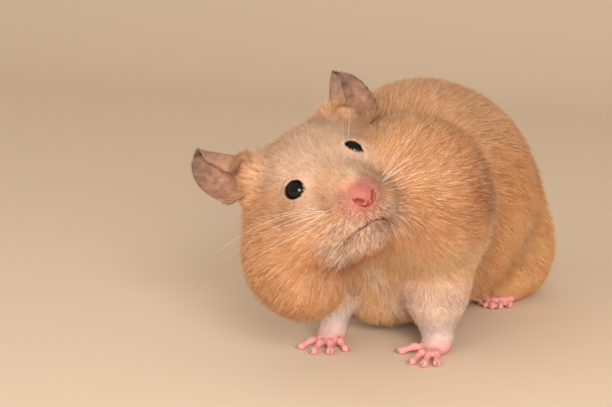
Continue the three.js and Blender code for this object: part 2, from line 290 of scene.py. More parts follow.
def fan_of_toes(centre: Array, side: int, inward: Sequence[float], reaches: Sequence[float],
                start: float, spread: tuple[float, float]) -> list[Toe]:
    """Toes that fan out from a foot.

    Args:
        centre: the middle of the palm or ball.
        side: LEFT or RIGHT.
        inward: each toe's turn towards the middle of the body, in degrees.
        reaches: each toe's reach from the centre.
        start: the roots' distance from the centre.
        spread: the sideways step from toe to toe, at the roots and at the tips.

    Returns:
        The toes, from the innermost one outwards.
    """
    toes = []
    for digit, (degrees, reach) in enumerate(zip(inward, reaches)):
        turn = math.radians(degrees) * side
        ahead = np.array([-math.sin(turn), -math.cos(turn), 0.0])
        step = side * (digit - (len(inward) - 1) / 2)
        root, tip = centre + ahead * start, centre + ahead * reach
        root[0] += step * spread[0]
        tip[0] += step * spread[1]
        root[2], tip[2] = 1.7, 1.05
        knuckle = root * 0.5 + tip * 0.5
        knuckle[2] = 2.15
        toes.append(Toe(tuple(root), tuple(knuckle), tuple(tip)))
    return toes


@dataclass(frozen=True)
class Foreleg:
    """A fore leg from shoulder to palm, with its toes."""

    side: int
    shoulder: Triple
    elbow: Triple
    wrist: Triple
    girths: Triple
    inward: Sequence[float]
    reaches: Sequence[float] = (8.6, 10.4, 11.0, 9.8)

    @property
    def palm(self) -> Array:
        """The middle of the palm."""
        return np.array(self.wrist) + np.array([0.0, -2.2, -2.4])

    def toes(self) -> list[Toe]:
        """The four toes."""
        return fan_of_toes(self.palm, self.side, self.inward, self.reaches, 2.6, (0.0, 0.0))

    def leg(self, points: Array) -> Array:
        """The furred leg down to the wrist."""
        upper = Limb(self.shoulder, self.elbow, self.girths[0], self.girths[1])
        fore = Limb(self.elbow, self.wrist, self.girths[1], self.girths[2])
        return blend(4.0, upper.distance(points), fore.distance(points))

    def paw(self, points: Array) -> Array:
        """The palm, joined to the wrist, and the toes."""
        palm = self.palm
        parts = [
            Mass(tuple(palm), (4.0, 4.4, 2.3)).distance(points),
            Limb(self.wrist, tuple(palm), self.girths[2] - 0.4, 2.6).distance(points),
        ]
        whole = blend(2.0, *parts)
        for toe in self.toes():
            whole = blend(0.9, whole, toe.distance(points))
        return whole


@dataclass(frozen=True)
class Hindfoot:
    """A hind foot, flat on the floor from heel to toes."""

    side: int
    spread: float = 17.0

    @property
    def ball(self) -> Array:
        """The middle of the ball of the foot."""
        return np.array([self.side * self.spread, 62.0, 2.0])

    def toes(self) -> list[Toe]:
        """The five toes."""
        reaches = (9.5, 11.2, 11.8, 11.2, 9.2)
        return fan_of_toes(self.ball, self.side, (20, 9, 0, -9, -22), reaches, 3.4, (1.3, 0.5))

    def foot(self, points: Array) -> Array:
        """The sole with its heel, and the toes."""
        heel = (self.side * (self.spread + 1.0), 74.0, 2.6)
        ball = Mass(tuple(self.ball), (4.5, 5.0, 2.6)).distance(points)
        whole = blend(2.0, ball, Limb(tuple(self.ball), heel, 2.8, 3.0).distance(points))
        for toe in self.toes():
            whole = blend(0.9, whole, toe.distance(points))
        return whole


@dataclass(frozen=True)
class Muzzle:
    """The front of the face: nostrils, groove and mouth, in a plane that leans with the fuller pouch."""

    centre: Triple = (0.6, -19.0, -5.6)
    lean: float = 14.0
    line: Path2D = (
        (-6.0, -8.75), (-5.4, -8.15), (-4.2, -7.46), (-2.4, -6.9), (-0.6, -6.58), (1.3, -6.3),
        (3.2, -6.6), (5.0, -7.4), (6.4, -8.1),
    )

    def flat(self, head_points: Array) -> Array:
        """Head points as places on the front of the face: across, and up from the nose."""
        c, s = math.cos(math.radians(self.lean)), math.sin(math.radians(self.lean))
        x = head_points[:, 0] - self.centre[0]
        z = head_points[:, 2] - self.centre[2]
        return np.stack([c * x - s * z, s * x + c * z], axis=1)

    @staticmethod
    def stroke(flat: Array, path: Sequence[tuple[float, float]]) -> Array:
        """Distance in the flat from a bent line: the least over its straight stretches."""
        nearest = np.full(len(flat), FAR)
        for start, end in zip(path[:-1], path[1:]):
            a, b = np.array(start), np.array(end)
            t = np.clip((flat - a) @ (b - a) / ((b - a) @ (b - a)), 0.0, 1.0)
            nearest = np.minimum(nearest, np.linalg.norm(flat - a - t[:, None] * (b - a), axis=1))
        return nearest

    def nostrils(self, flat: Array) -> Array:
        """Distance from the two comma-shaped nostrils."""
        right = self.stroke(flat, [(-1.7, 0.55), (-1.2, 0.15), (-0.4, -0.3)])
        left = self.stroke(flat, [(2.75, 1.0), (2.65, 0.3), (2.1, -0.45)])
        return np.minimum(right, left)

    def wings(self, flat: Array) -> Array:
        """Distance from the crease under the nose's wings, with the notch in its middle."""
        under = [
            (-2.6, 0.9), (-2.1, 0.0), (-1.4, -0.85), (-0.5, -1.6), (0.4, -1.95), (1.5, -1.7),
            (2.9, -0.85), (3.55, 0.2), (3.4, 1.1),
        ]
        return np.minimum(self.stroke(flat, under), self.stroke(flat, [(0.72, -0.9), (0.4, -1.9)]))

    def groove(self, flat: Array) -> Array:
        """Distance from the groove that runs from the nose to the mouth."""
        return self.stroke(flat, [(0.1, -1.8), (-0.1, -4.1), (-0.3, -6.8)])

    def mouth(self, flat: Array) -> Array:
        """Distance from the line between the lips."""
        return self.stroke(flat, self.line)

    def below(self, flat: Array) -> Array:
        """How far under the line between the lips."""
        x, y = np.array(self.line).T
        return np.interp(flat[:, 0], x, y) - flat[:, 1]


MUZZLE = Muzzle()
NOSE_TIP = np.array([0.9, -17.4, -5.2])


@dataclass(frozen=True)
class HamsterForm:
    """The animal's whole shape as distances: negative inside, positive outside."""

    forelegs: tuple[Foreleg, ...] = (
        Foreleg(LEFT, (11.4, 10, 28), (13, 5, 17), (14.6, 3, 4.6), (13, 8.8, 4.4), (66, 14, -3, -19),
                (9.2, 12.0, 12.6, 11.2)),
        Foreleg(RIGHT, (-14, 10, 28), (-15.4, 5, 15), (-15.3, 1, 4.4), (11, 5.6, 3.7), (50, 20, -4, -34)),
    )
    hindfeet: tuple[Hindfoot, ...] = (Hindfoot(LEFT), Hindfoot(RIGHT))
    trunk_masses: tuple[Mass, ...] = (
        Mass((-1, 44, 34.8), (30.5, 43, 33.2)),
        Mass((0, 68, 25.5), (27.0, 24.6, 25.0)),
        Mass((-7, 18, 30), (23, 20, 28.5)),
        Mass((-3, 26, 44), (20, 20, 22.5)),
        Mass((-5, 39, 47.4), (19, 26, 20.2)),
    )
    neck: Limb = Limb((-15, -9, 46), (-4, 18, 38), 12.5, 24)
    haunches: tuple[Mass, ...] = (
        Mass((18.4, 66.5, 14.5), (12.6, 18.6, 15.6), -8.0),
        Mass((-18.4, 66.5, 14.5), (12.6, 18.6, 15.6), 8.0),
    )
    tail: Limb = Limb((0, 88, 20), (0, 100, 14.5), 3.2, 1.7)
    skull_masses: tuple[Mass | Limb, ...] = (
        Mass((0, 12.5, -3.9), (15.2, 15.6, 12.5)),
        Limb((0, 6, -4), (0.6, -13, -6.2), 10.6, 6.4),
        Mass((10.5, 4, -11), (8.5, 12, 9.5)),
        Mass((-10.5, 4, -11), (8.5, 12, 9.5)),
    )
    lip_masses: tuple[Mass, ...] = (
        Mass((3.8, -11.8, -10.8), (5.2, 5.8, 4.8)),
        Mass((-3.8, -11.8, -10.8), (5.2, 5.8, 4.8)),
        Mass((-2.4, -7.2, -16.2), (5.0, 7.2, 4.2)),
        Mass((-8.2, -6.6, -11.0), (4.6, 6.0, 5.0)),
    )
    ear_mounds: tuple[Mass, ...] = (
        Mass((13.3, 14.8, 6.2), (4.1, 5.0, 4.6)),
        Mass((-12.6, 15.2, 6.6), (4.6, 5.4, 4.8)),
        Mass((-16.6, 13.8, 1.6), (3.0, 4.4, 3.4)),
    )
    nose: Mass = Mass((0.9, -17.1, -5.2), (3.3, 3, 2.8))
    pouches: dict[int, Mass] = field(default_factory=lambda: {
        LEFT: Mass((21.6, 7, -21.2), (18.5, 20, 21.5)),
        RIGHT: Mass((-17.8, 8.5, -18.5), (13.5, 17, 16)),
    })

    def face(self, q: Array) -> Array:
        """Skull, cheeks, lips and chin, from head points."""
        skull = blend(7.0, *(part.distance(q) for part in self.skull_masses))
        skull = blend(4.0, skull, *(part.distance(q) for part in self.ear_mounds))
        return blend(4.0, skull, *(part.distance(q) for part in self.lip_masses))

    def paws(self, p: Array) -> Array:
        """All four bare feet."""
        found = np.full(len(p), FAR)
        for leg in self.forelegs:
            low, high = leg.palm - np.array([16, 16, 16]), leg.palm + np.array([16, 12, 12])
            found = np.minimum(found, within(p, tuple(low), tuple(high), leg.paw))
        for hind in self.hindfeet:
            low, high = hind.ball - np.array([12, 18, 12]), hind.ball + np.array([12, 22, 12])
            found = np.minimum(found, within(p, tuple(low), tuple(high), hind.foot))
        return found

    def coat(self, p: Array) -> Array:
        """Distance to the tips of the coat: everything but ears, eyes and claws."""
        q = HEAD.to_head(p)
        face = self.face(q)
        head = blend(9.0, face, *(self.pouches[side].distance(q) for side in (LEFT, RIGHT)))
        head = blend(2.2, head, self.nose.distance(q))
        head = blend(1.8, head, *(eye.gap(q) - EYE_RADIUS - 0.45 for eye in EYES.values()))
        trunk = blend(9.0, *(part.distance(p) for part in self.trunk_masses))
        trunk = blend(14.0, trunk, self.neck.distance(p), face)
        trunk = blend(7.5, trunk, *(part.distance(p) for part in self.haunches))
        trunk = blend(2.0, trunk, self.tail.distance(p))
        for leg in self.forelegs:
            reach = within(p, (-40, -20, -10), (40, 30, 50), leg.leg)
            trunk = blend(3.0, trunk, reach)
        low = fade(-p[:, 2], -46.0, -34.0)
        whole = blend(2.4, trunk, head)
        under = low > 0.01
        whole[under] += (blend(9.0, trunk[under], head[under]) - whole[under]) * low[under]
        return np.maximum(blend(1.6, whole, self.paws(p)), -p[:, 2])

    def depth(self, p: Array) -> Array:
        """How far the skin lies inside the tips of the coat.

        It grows from nothing at the nose, eyes, feet and tail: d = start + slope * distance, cut off at
        the body's own depth.
        """
        q = HEAD.to_head(p)
        nose = np.linalg.norm(q - NOSE_TIP, axis=1)
        deep = np.clip(0.08 + 0.075 * (nose - 3.0), 0.08, 2.0)
        for eye in EYES.values():
            deep = np.minimum(deep, np.maximum(0.15 + 0.16 * (eye.gap(q) - EYE_RADIUS - 0.6), 0.12))
        deep = np.minimum(deep, 0.04 + 0.13 * np.maximum(self.paws(p), 0.0))
        return np.minimum(deep, 0.15 + 0.3 * np.maximum(self.tail.distance(p) + 0.3, 0.0))

    def skin(self, p: Array) -> Array:
        """Distance to the skin, with eye sockets, lids, nostrils, groove and lips."""
        base = self.coat(p) + self.depth(p)
        q = HEAD.to_head(p)
        near = (q[:, 1] < 8.0) & (q[:, 2] > -26.0) & (np.abs(q[:, 0]) < 18.0) & (np.abs(base) < 4.0)
        if near.any():
            base[near] = self._features(q[near], base[near])
        return np.maximum(base, -p[:, 2])

    def _features(self, q: Array, base: Array) -> Array:
        """The face's small forms, laid on its plain surface."""
        for eye in EYES.values():
            gap, edge = eye.gap(q), eye.opening(q)
            crease = np.exp(-(((edge - 1.25) / 0.3) ** 2)) * fade(-gap, -5.4, -4.4)
            base = base + 0.16 * crease
            rim = np.hypot(edge - 0.28, gap - EYE_RADIUS - 0.28) - 0.26
            base = blend(0.5, base, np.where(gap < 4.6, rim, FAR))
            base = -blend(0.35, -base, edge)
        flat = MUZZLE.flat(q)
        front = fade(-q[:, 1], 7.0, 11.0)
        nostril, wing = MUZZLE.nostrils(flat), MUZZLE.wings(flat)
        groove, mouth, below = MUZZLE.groove(flat), MUZZLE.mouth(flat), MUZZLE.below(flat)
        base = base + front * 1.1 * np.exp(-((nostril / 0.40) ** 2))
        base = base - front * 0.12 * np.exp(-(((nostril - 0.75) / 0.35) ** 2))
        base = base + front * 0.42 * np.exp(-((wing / 0.30) ** 2))
        base = base + front * 0.42 * np.exp(-((groove / 0.42) ** 2)) * fade(-flat[:, 1], 1.0, 2.4)
        base = base + front * 1.0 * np.exp(-((mouth / 0.40) ** 2))
        under_lip = front * 0.40 * fade(below, -0.1, 0.5) * (1 - fade(below, 1.5, 5.0))
        base = base + under_lip * fade(-mouth, -5.0, -2.0)
        return base - front * 0.10 * np.exp(-(((mouth - 0.9) / 0.5) ** 2))


FORM = HamsterForm()


# ------------------------------------------------------------------------------------ meshing


def graded(start: float, pieces: Sequence[tuple[float, float]]) -> Array:
    """Grid lines from start through pieces of (end, step), evenly spaced within each piece."""
    lines = [np.array([start])]
    for end, step in pieces:
        begin = lines[-1][-1]
        count = max(1, round((end - begin) / step))
        lines.append(begin + (end - begin) * np.arange(1, count + 1) / count)
    return np.concatenate(lines)


def gradient(distance: Distance, points: Array, step: float = 0.05) -> tuple[Array, Array]:
    """A field's value and its slope, from one-sided differences.

    Args:
        distance: the field.
        points: where to read it.
        step: the length of a difference.

    Returns:
        The values, and the slopes as vectors.
    """
    here = distance(points)
    slopes = np.empty_like(points)
    for axis in range(3):
        shifted = points.copy()
        shifted[:, axis] += step
        slopes[:, axis] = (distance(shifted) - here) / step
    return here, slopes


@dataclass(frozen=True)
class SurfaceNet:
    """Quads round the zero level of a distance field, on a grid that is finer where the form is.

    A cell that the level passes through gets one corner, at the mean of its edges' crossings, and each
    edge that the level crosses gets one quad from the four cells round it. The corners are then evened
    out and moved back on to the level along the slope.
    """

    xs: Array
    ys: Array
    zs: Array
    band: float = 3.2
    stride: int = 4

    def values(self, distance: Distance) -> Array:
        """The field on the grid: read on every fourth line, and read again near the level."""
        axes = (self.xs, self.ys, self.zs)
        picks = [np.unique(np.append(np.arange(0, len(a), self.stride), len(a) - 1)) for a in axes]
        coarse_axes = [a[p] for a, p in zip(axes, picks)]
        mesh = np.meshgrid(*coarse_axes, indexing="ij")
        grid = distance(np.stack([m.ravel() for m in mesh], axis=1)).reshape(mesh[0].shape)
        for axis, (fine, coarse) in enumerate(zip(axes, coarse_axes)):
            low = np.clip(np.searchsorted(coarse, fine, side="right") - 1, 0, len(coarse) - 2)
            share = (fine - coarse[low]) / (coarse[low + 1] - coarse[low])
            shape = [1, 1, 1]
            shape[axis] = len(fine)
            share = share.reshape(shape)
            grid = np.take(grid, low, axis) * (1 - share) + np.take(grid, low + 1, axis) * share
        near = np.argwhere(np.abs(grid) < self.band)
        for part in np.array_split(near, max(1, len(near) // 300000)):
            points = np.stack([axes[a][part[:, a]] for a in range(3)], axis=1)
            grid[part[:, 0], part[:, 1], part[:, 2]] = distance(points)
        return grid

    def build(self, distance: Distance, rounds: int = 2) -> tuple[Array, Array]:
        """The corners and quads of the level.

        Args:
            distance: the field.
            rounds: how often the corners are evened out and moved back.

        Returns:
            The corners, and four corner numbers for each quad, facing outwards.
        """
        grid = self.values(distance)
        axes = (self.xs, self.ys, self.zs)
        inside = grid < 0
        cells = np.array(grid.shape) - 1
        sums = np.zeros((int(np.prod(cells)), 3), np.float32)
        hits = np.zeros(len(sums), np.int32)
        quads = []
        for axis in range(3):
            first = [slice(None)] * 3
            second = [slice(None)] * 3
            first[axis], second[axis] = slice(0, -1), slice(1, None)
            a, b = inside[tuple(first)], inside[tuple(second)]
            edges = np.argwhere(a != b)
            one = grid[tuple(first)][tuple(edges.T)]
            two = grid[tuple(second)][tuple(edges.T)]
            share = one / (one - two)
            place = np.stack([axes[k][edges[:, k]] for k in range(3)], axis=1)
            line = axes[axis]
            place[:, axis] += share * (line[edges[:, axis] + 1] - line[edges[:, axis]])
            u, v = (axis + 1) % 3, (axis + 2) % 3
            around = []
            for du, dv in ((-1, -1), (0, -1), (0, 0), (-1, 0)):
                cell = edges.copy()
                cell[:, u] += du
                cell[:, v] += dv
                number = np.ravel_multi_index(tuple(cell.T), tuple(cells), mode="clip")
                np.add.at(sums, number, place)
                np.add.at(hits, number, 1)
                around.append(number)
            ring = np.stack(around, axis=1)
            outwards = one < 0
            quads.append(np.where(outwards[:, None], ring, ring[:, ::-1]))
        used = np.flatnonzero(hits)
        renumber = np.full(len(hits), -1, np.int64)
        renumber[used] = np.arange(len(used))
        corners = (sums[used] / hits[used, None]).astype(float)
        faces = renumber[np.concatenate(quads)]
        for _ in range(rounds):
            corners = self.settle(self.even(corners, faces), distance)
        return corners, faces

    @staticmethod
    def even(corners: Array, faces: Array) -> Array:
        """Each corner moved half way to the mean of its neighbours."""
        a = np.concatenate([faces[:, k] for k in range(4)])
        b = np.concatenate([faces[:, (k + 1) % 4] for k in range(4)])
        count = np.bincount(a, minlength=len(corners)) + np.bincount(b, minlength=len(corners))
        mean = np.empty_like(corners)
        for axis in range(3):
            one = np.bincount(a, weights=corners[b, axis], minlength=len(corners))
            two = np.bincount(b, weights=corners[a, axis], minlength=len(corners))
            mean[:, axis] = (one + two) / np.maximum(count, 1)
        return corners * 0.5 + mean * 0.5

    @staticmethod
    def settle(corners: Array, distance: Distance) -> Array:
        """The corners moved to the level along the slope, by no more than half a millimetre."""
        value, slope = gradient(distance, corners)
        length = np.maximum((slope * slope).sum(axis=1), 0.09)
        move = slope * (value / length)[:, None]
        size = np.maximum(np.linalg.norm(move, axis=1, keepdims=True), 1e-9)
        corners = corners - move * np.minimum(1.0, 0.5 / size)
        corners[:, 2] = np.maximum(corners[:, 2], 0.0)
        return corners


def refined(corners: Array, faces: Array, choices: Sequence[tuple[Array, int]]) -> tuple[Array, Array]:
    """Chosen quads split finer, and the whole mesh made triangles.

    Args:
        corners: the mesh's corners.
        faces: its quads.
        choices: which quads are split, and how many cuts go across each of their edges.

    Returns:
        The corners and triangles.
    """
    rough = bpy.data.meshes.new("rough")
    rough.from_pydata(corners.tolist(), [], faces.tolist())
    work = bmesh.new()
    work.from_mesh(rough)
    kept = list(work.faces)
    for chosen, cuts in choices:
        work.edges.index_update()
        edges = {edge for number in np.flatnonzero(chosen) for edge in kept[number].edges}
        ordered = sorted(edges, key=lambda edge: edge.index)
        bmesh.ops.subdivide_edges(work, edges=ordered, cuts=cuts, use_grid_fill=True)
        kept = [face if face.is_valid else None for face in kept]
    bmesh.ops.triangulate(work, faces=work.faces[:], quad_method="SHORT_EDGE")
    work.to_mesh(rough)
    work.free()
    points = np.empty(len(rough.vertices) * 3, np.float32)
    rough.vertices.foreach_get("co", points)
    numbers = np.empty(len(rough.loops), np.int32)
    rough.loops.foreach_get("vertex_index", numbers)
    bpy.data.meshes.remove(rough)
    return points.reshape(-1, 3).astype(float), numbers.reshape(-1, 3)


def corner_normals(corners: Array, faces: Array) -> Array:
    """Normals of corners: the sum of the normals of the faces round them, by area."""
    a, b, c = corners[faces[:, 0]], corners[faces[:, 1]], corners[faces[:, 2]]
    d = corners[faces[:, -1]]
    normal = np.cross(c - a, d - b) if faces.shape[1] == 4 else np.cross(b - a, c - a)
    total = np.zeros_like(corners)
    for axis in range(3):
        for k in range(faces.shape[1]):
            total[:, axis] += np.bincount(faces[:, k], weights=normal[:, axis], minlength=len(corners))
    return unit(total)


def add_mesh(name: str, corners: Array, faces: Array) -> bpy.types.Object:
    """A smooth-shaded object from body points in millimetres.

    Args:
        name: the piece's name.
        corners: its corners.
        faces: corner numbers, all faces with the same count.

    Returns:
        The object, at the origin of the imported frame.
    """
    mesh = bpy.data.meshes.new(name)
    mesh.vertices.add(len(corners))
    mesh.vertices.foreach_set("co", packed(corners).astype(np.float32).ravel())
    mesh.loops.add(faces.size)
    mesh.loops.foreach_set("vertex_index", faces.astype(np.int32).ravel())
    mesh.polygons.add(len(faces))
    mesh.polygons.foreach_set("loop_start", np.arange(0, faces.size, faces.shape[1], dtype=np.int32))
    mesh.polygons.foreach_set("use_smooth", np.ones(len(faces), bool))
    mesh.update(calc_edges=True)
    made = bpy.data.objects.new(name, mesh)
    bpy.context.scene.collection.objects.link(made)
    return made


def paint(piece: bpy.types.Object, colours: Array) -> None:
    """Linear colours on a piece's corners."""
    layer = piece.data.attributes.new("tint", "FLOAT_COLOR", "POINT")
    full = np.ones((len(colours), 4), np.float32)
    full[:, :3] = colours
    layer.data.foreach_set("color", full.ravel())


def mark(piece: bpy.types.Object, values: Array, name: str) -> None:
    """Numbers on a piece's corners."""
    layer = piece.data.attributes.new(name, "FLOAT", "POINT")
    layer.data.foreach_set("value", values.astype(np.float32))


# ------------------------------------------------------------------------------------ finishes


class Slot(Enum):
    """The record's material slots."""

    COAT = "coat"
    PALE_COAT = "pale_coat"
    BARE_SKIN = "bare_skin"
    EAR_SKIN = "ear_skin"
    EYE = "eye"


def dress(piece: bpy.types.Object, material: bpy.types.Material, slot: Slot, *replaced: str) -> None:
    """Gives a piece its material, the solids it stands for and the body it rides on.

    Args:
        piece: the piece.
        material: its material.
        slot: its material slot; not used.
        replaced: the solids that it stands for.
    """
    piece.data.materials.append(material)
    if replaced:
        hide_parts(*replaced)
    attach(piece, "root")
    log.info("%s: %d triangles", piece.name, len(piece.data.polygons))


class Shader:
    """A material's nodes, wired to one Principled shader."""

    def __init__(self, name: str) -> None:
        """Starts a material with an empty tree.

        Args:
            name: the material's name.
        """
        self.material = bpy.data.materials.new(name)
        self.material.use_nodes = True
        self.tree = self.material.node_tree
        self.principled = self.tree.nodes["Principled BSDF"]

    def set(self, **sockets: float | Triple) -> "Shader":
        """Sets the shader's sockets, written with underscores for spaces."""
        for name, value in sockets.items():
            socket = self.principled.inputs[name.replace("_", " ")]
            is_colour = socket.type == "RGBA"
            socket.default_value = (*value, 1.0) if is_colour else value
        return self

    def add(self, kind: str, inputs: dict | None = None, **settings: object) -> bpy.types.Node:
        """A node with its settings and inputs.

        Args:
            kind: the node's type name, without ShaderNode.
            inputs: values or output sockets, by input name or number.
            settings: the node's own properties.

        Returns:
            The node.
        """
        made = self.tree.nodes.new("ShaderNode" + kind)
        for name, value in settings.items():
            setattr(made, name, value)
        for key, value in (inputs or {}).items():
            socket = made.inputs[key]
            if isinstance(value, bpy.types.NodeSocket):
                self.tree.links.new(value, socket)
            else:
                socket.default_value = value
        return made

    def join(self, output: bpy.types.NodeSocket, socket: str) -> None:
        """Links an output to one of the shader's sockets."""
        self.tree.links.new(output, self.principled.inputs[socket])

    def place(self) -> bpy.types.NodeSocket:
        """The piece's own coordinates."""
        return self.add("TexCoord").outputs["Object"]

    def noise(self, scale: float, detail: float = 3.0, stretch: Triple = (1, 1, 1)) -> bpy.types.NodeSocket:
        """A noise of so many grains to the metre, 0 to 1."""
        mapped = self.add("Mapping", {"Vector": self.place(), "Scale": stretch})
        texture = self.add("TexNoise", {"Vector": mapped.outputs[0], "Scale": scale, "Detail": detail})
        return texture.outputs["Fac"]

    def span(self, value: bpy.types.NodeSocket, low: float, high: float, start: float = 0.0,
             end: float = 1.0) -> bpy.types.NodeSocket:
        """A value from one range to another."""
        inputs = {"Value": value, 1: start, 2: end, 3: low, 4: high}
        return self.add("MapRange", inputs).outputs["Result"]

    def scaled(self, colour: bpy.types.NodeSocket, factor: bpy.types.NodeSocket) -> bpy.types.NodeSocket:
        """A colour made lighter or darker."""
        node = self.add("VectorMath", {0: colour, "Scale": factor}, operation="SCALE")
        return node.outputs[0]

    def mixed(self, share: object, one: object, two: object) -> bpy.types.NodeSocket:
        """Two colours mixed."""
        node = self.tree.nodes.new("ShaderNodeMix")
        node.data_type = "RGBA"
        for number, value in ((0, share), (6, one), (7, two)):
            if isinstance(value, bpy.types.NodeSocket):
                self.tree.links.new(value, node.inputs[number])
            elif number == 0:
                node.inputs[0].default_value = value
            else:
                node.inputs[number].default_value = (*value, 1.0)
        return node.outputs[2]

    def coloured(self, scale: float, detail: float, low: float, high: float) -> None:
        """Joins the corners' colour, made uneven between two factors by a noise."""
        uneven = self.span(self.noise(scale, detail), low, high, 0.3, 0.7)
        self.join(self.scaled(self.tint(), uneven), "Base Color")

    def bump(self, height: bpy.types.NodeSocket, distance: float, strength: float,
             under: bpy.types.NodeSocket | None = None) -> bpy.types.NodeSocket:
        """A bump of that many metres."""
        inputs = {"Height": height, "Distance": distance, "Strength": strength}
        node = self.add("Bump", inputs)
        if under is not None:
            self.tree.links.new(under, node.inputs["Normal"])
        return node.outputs["Normal"]

    def tint(self) -> bpy.types.NodeSocket:
        """The colour held by the piece's corners."""
        return self.add("Attribute", attribute_name="tint", attribute_type="GEOMETRY").outputs["Color"]

    def amount(self, name: str) -> bpy.types.NodeSocket:
        """A number held by the piece's corners."""
        return self.add("Attribute", attribute_name=name, attribute_type="GEOMETRY").outputs["Fac"]


@dataclass(frozen=True)
class CoatFinish:
    """Fur: the tuft's own colour, made slightly uneven by a noise, and a soft sheen."""

    name: str = "golden_fur"
    roughness: float = 0.62
    sheen: float = 0.07

    @classmethod
    def shared(cls) -> bpy.types.Material:
        """The one material that all the coat's pieces share."""
        made = cls()
        return bpy.data.materials.get(made.name) or made.material()

    def material(self) -> bpy.types.Material:
        """Builds the material."""
        s = Shader(self.name)
        s.set(Roughness=self.roughness, Sheen_Weight=self.sheen, Sheen_Roughness=0.4,
              Sheen_Tint=(1.0, 0.86, 0.68), Specular_IOR_Level=0.28)
        s.coloured(2600.0, 2.0, 0.88, 1.12)
        return s.material


@dataclass(frozen=True)
class SkinFinish:
    """Skin: pink and moist where bare, with fine creases, and fur-coloured under the coat."""

    name: str = "pink_skin"

    def material(self) -> bpy.types.Material:
        """Builds the material."""
        s = Shader(self.name)
        s.set(Subsurface_Weight=0.25, Subsurface_Radius=(0.9, 0.35, 0.2), Subsurface_Scale=0.0009,
              Specular_IOR_Level=0.45)
        s.coloured(420.0, 4.0, 0.9, 1.1)
        s.join(s.span(s.amount("wet"), 0.62, 0.42), "Roughness")
        pores = s.bump(s.noise(3200.0, 3.0), 0.00012, 0.5)
        s.join(s.bump(s.noise(1100.0, 2.0), 0.00022, 0.4, pores), "Normal")
        return s.material


@dataclass(frozen=True)
class EarFinish:
    """Thin ear skin: grey-pink, mottled and velvety."""

    name: str = "ear_leather"

    def material(self) -> bpy.types.Material:
        """Builds the material."""
        s = Shader(self.name)
        s.set(Roughness=0.6, Subsurface_Weight=0.3, Subsurface_Radius=(0.9, 0.3, 0.2),
              Subsurface_Scale=0.0008, Sheen_Weight=0.25, Sheen_Roughness=0.45, Specular_IOR_Level=0.3)
        s.coloured(520.0, 5.0, 0.58, 1.36)
        s.join(s.bump(s.noise(1800.0, 4.0), 0.00025, 0.5), "Normal")
        return s.material


@dataclass(frozen=True)
class EyeFinish:
    """A black, wet eye with a faint brown depth."""

    name: str = "wet_eye"

    def material(self) -> bpy.types.Material:
        """Builds the material."""
        s = Shader(self.name)
        s.set(Roughness=0.06, Specular_IOR_Level=0.3)
        depth = s.noise(500.0, 2.0)
        s.join(s.mixed(depth, (0.0025, 0.002, 0.002), (0.006, 0.004, 0.003)), "Base Color")
        return s.material


@dataclass(frozen=True)
class HornFinish:
    """Claws: pinkish horn, darker to the tip."""

    name: str = "claw_horn"

    def material(self) -> bpy.types.Material:
        """Builds the material."""
        s = Shader(self.name)
        s.set(Roughness=0.35, Specular_IOR_Level=0.5, Subsurface_Weight=0.1, Subsurface_Scale=0.0005)
        s.coloured(2500.0, 3.0, 0.85, 1.15)
        return s.material


@dataclass(frozen=True)
class WhiskerFinish:
    """Whiskers: pale, glossy and stiff."""

    name: str = "whisker_hair"

    def material(self) -> bpy.types.Material:
        """Builds the material."""
        s = Shader(self.name)
        s.set(Roughness=0.35, Specular_IOR_Level=0.5, Sheen_Weight=0.2)
        s.coloured(1500.0, 3.0, 0.9, 1.1)
        return s.material


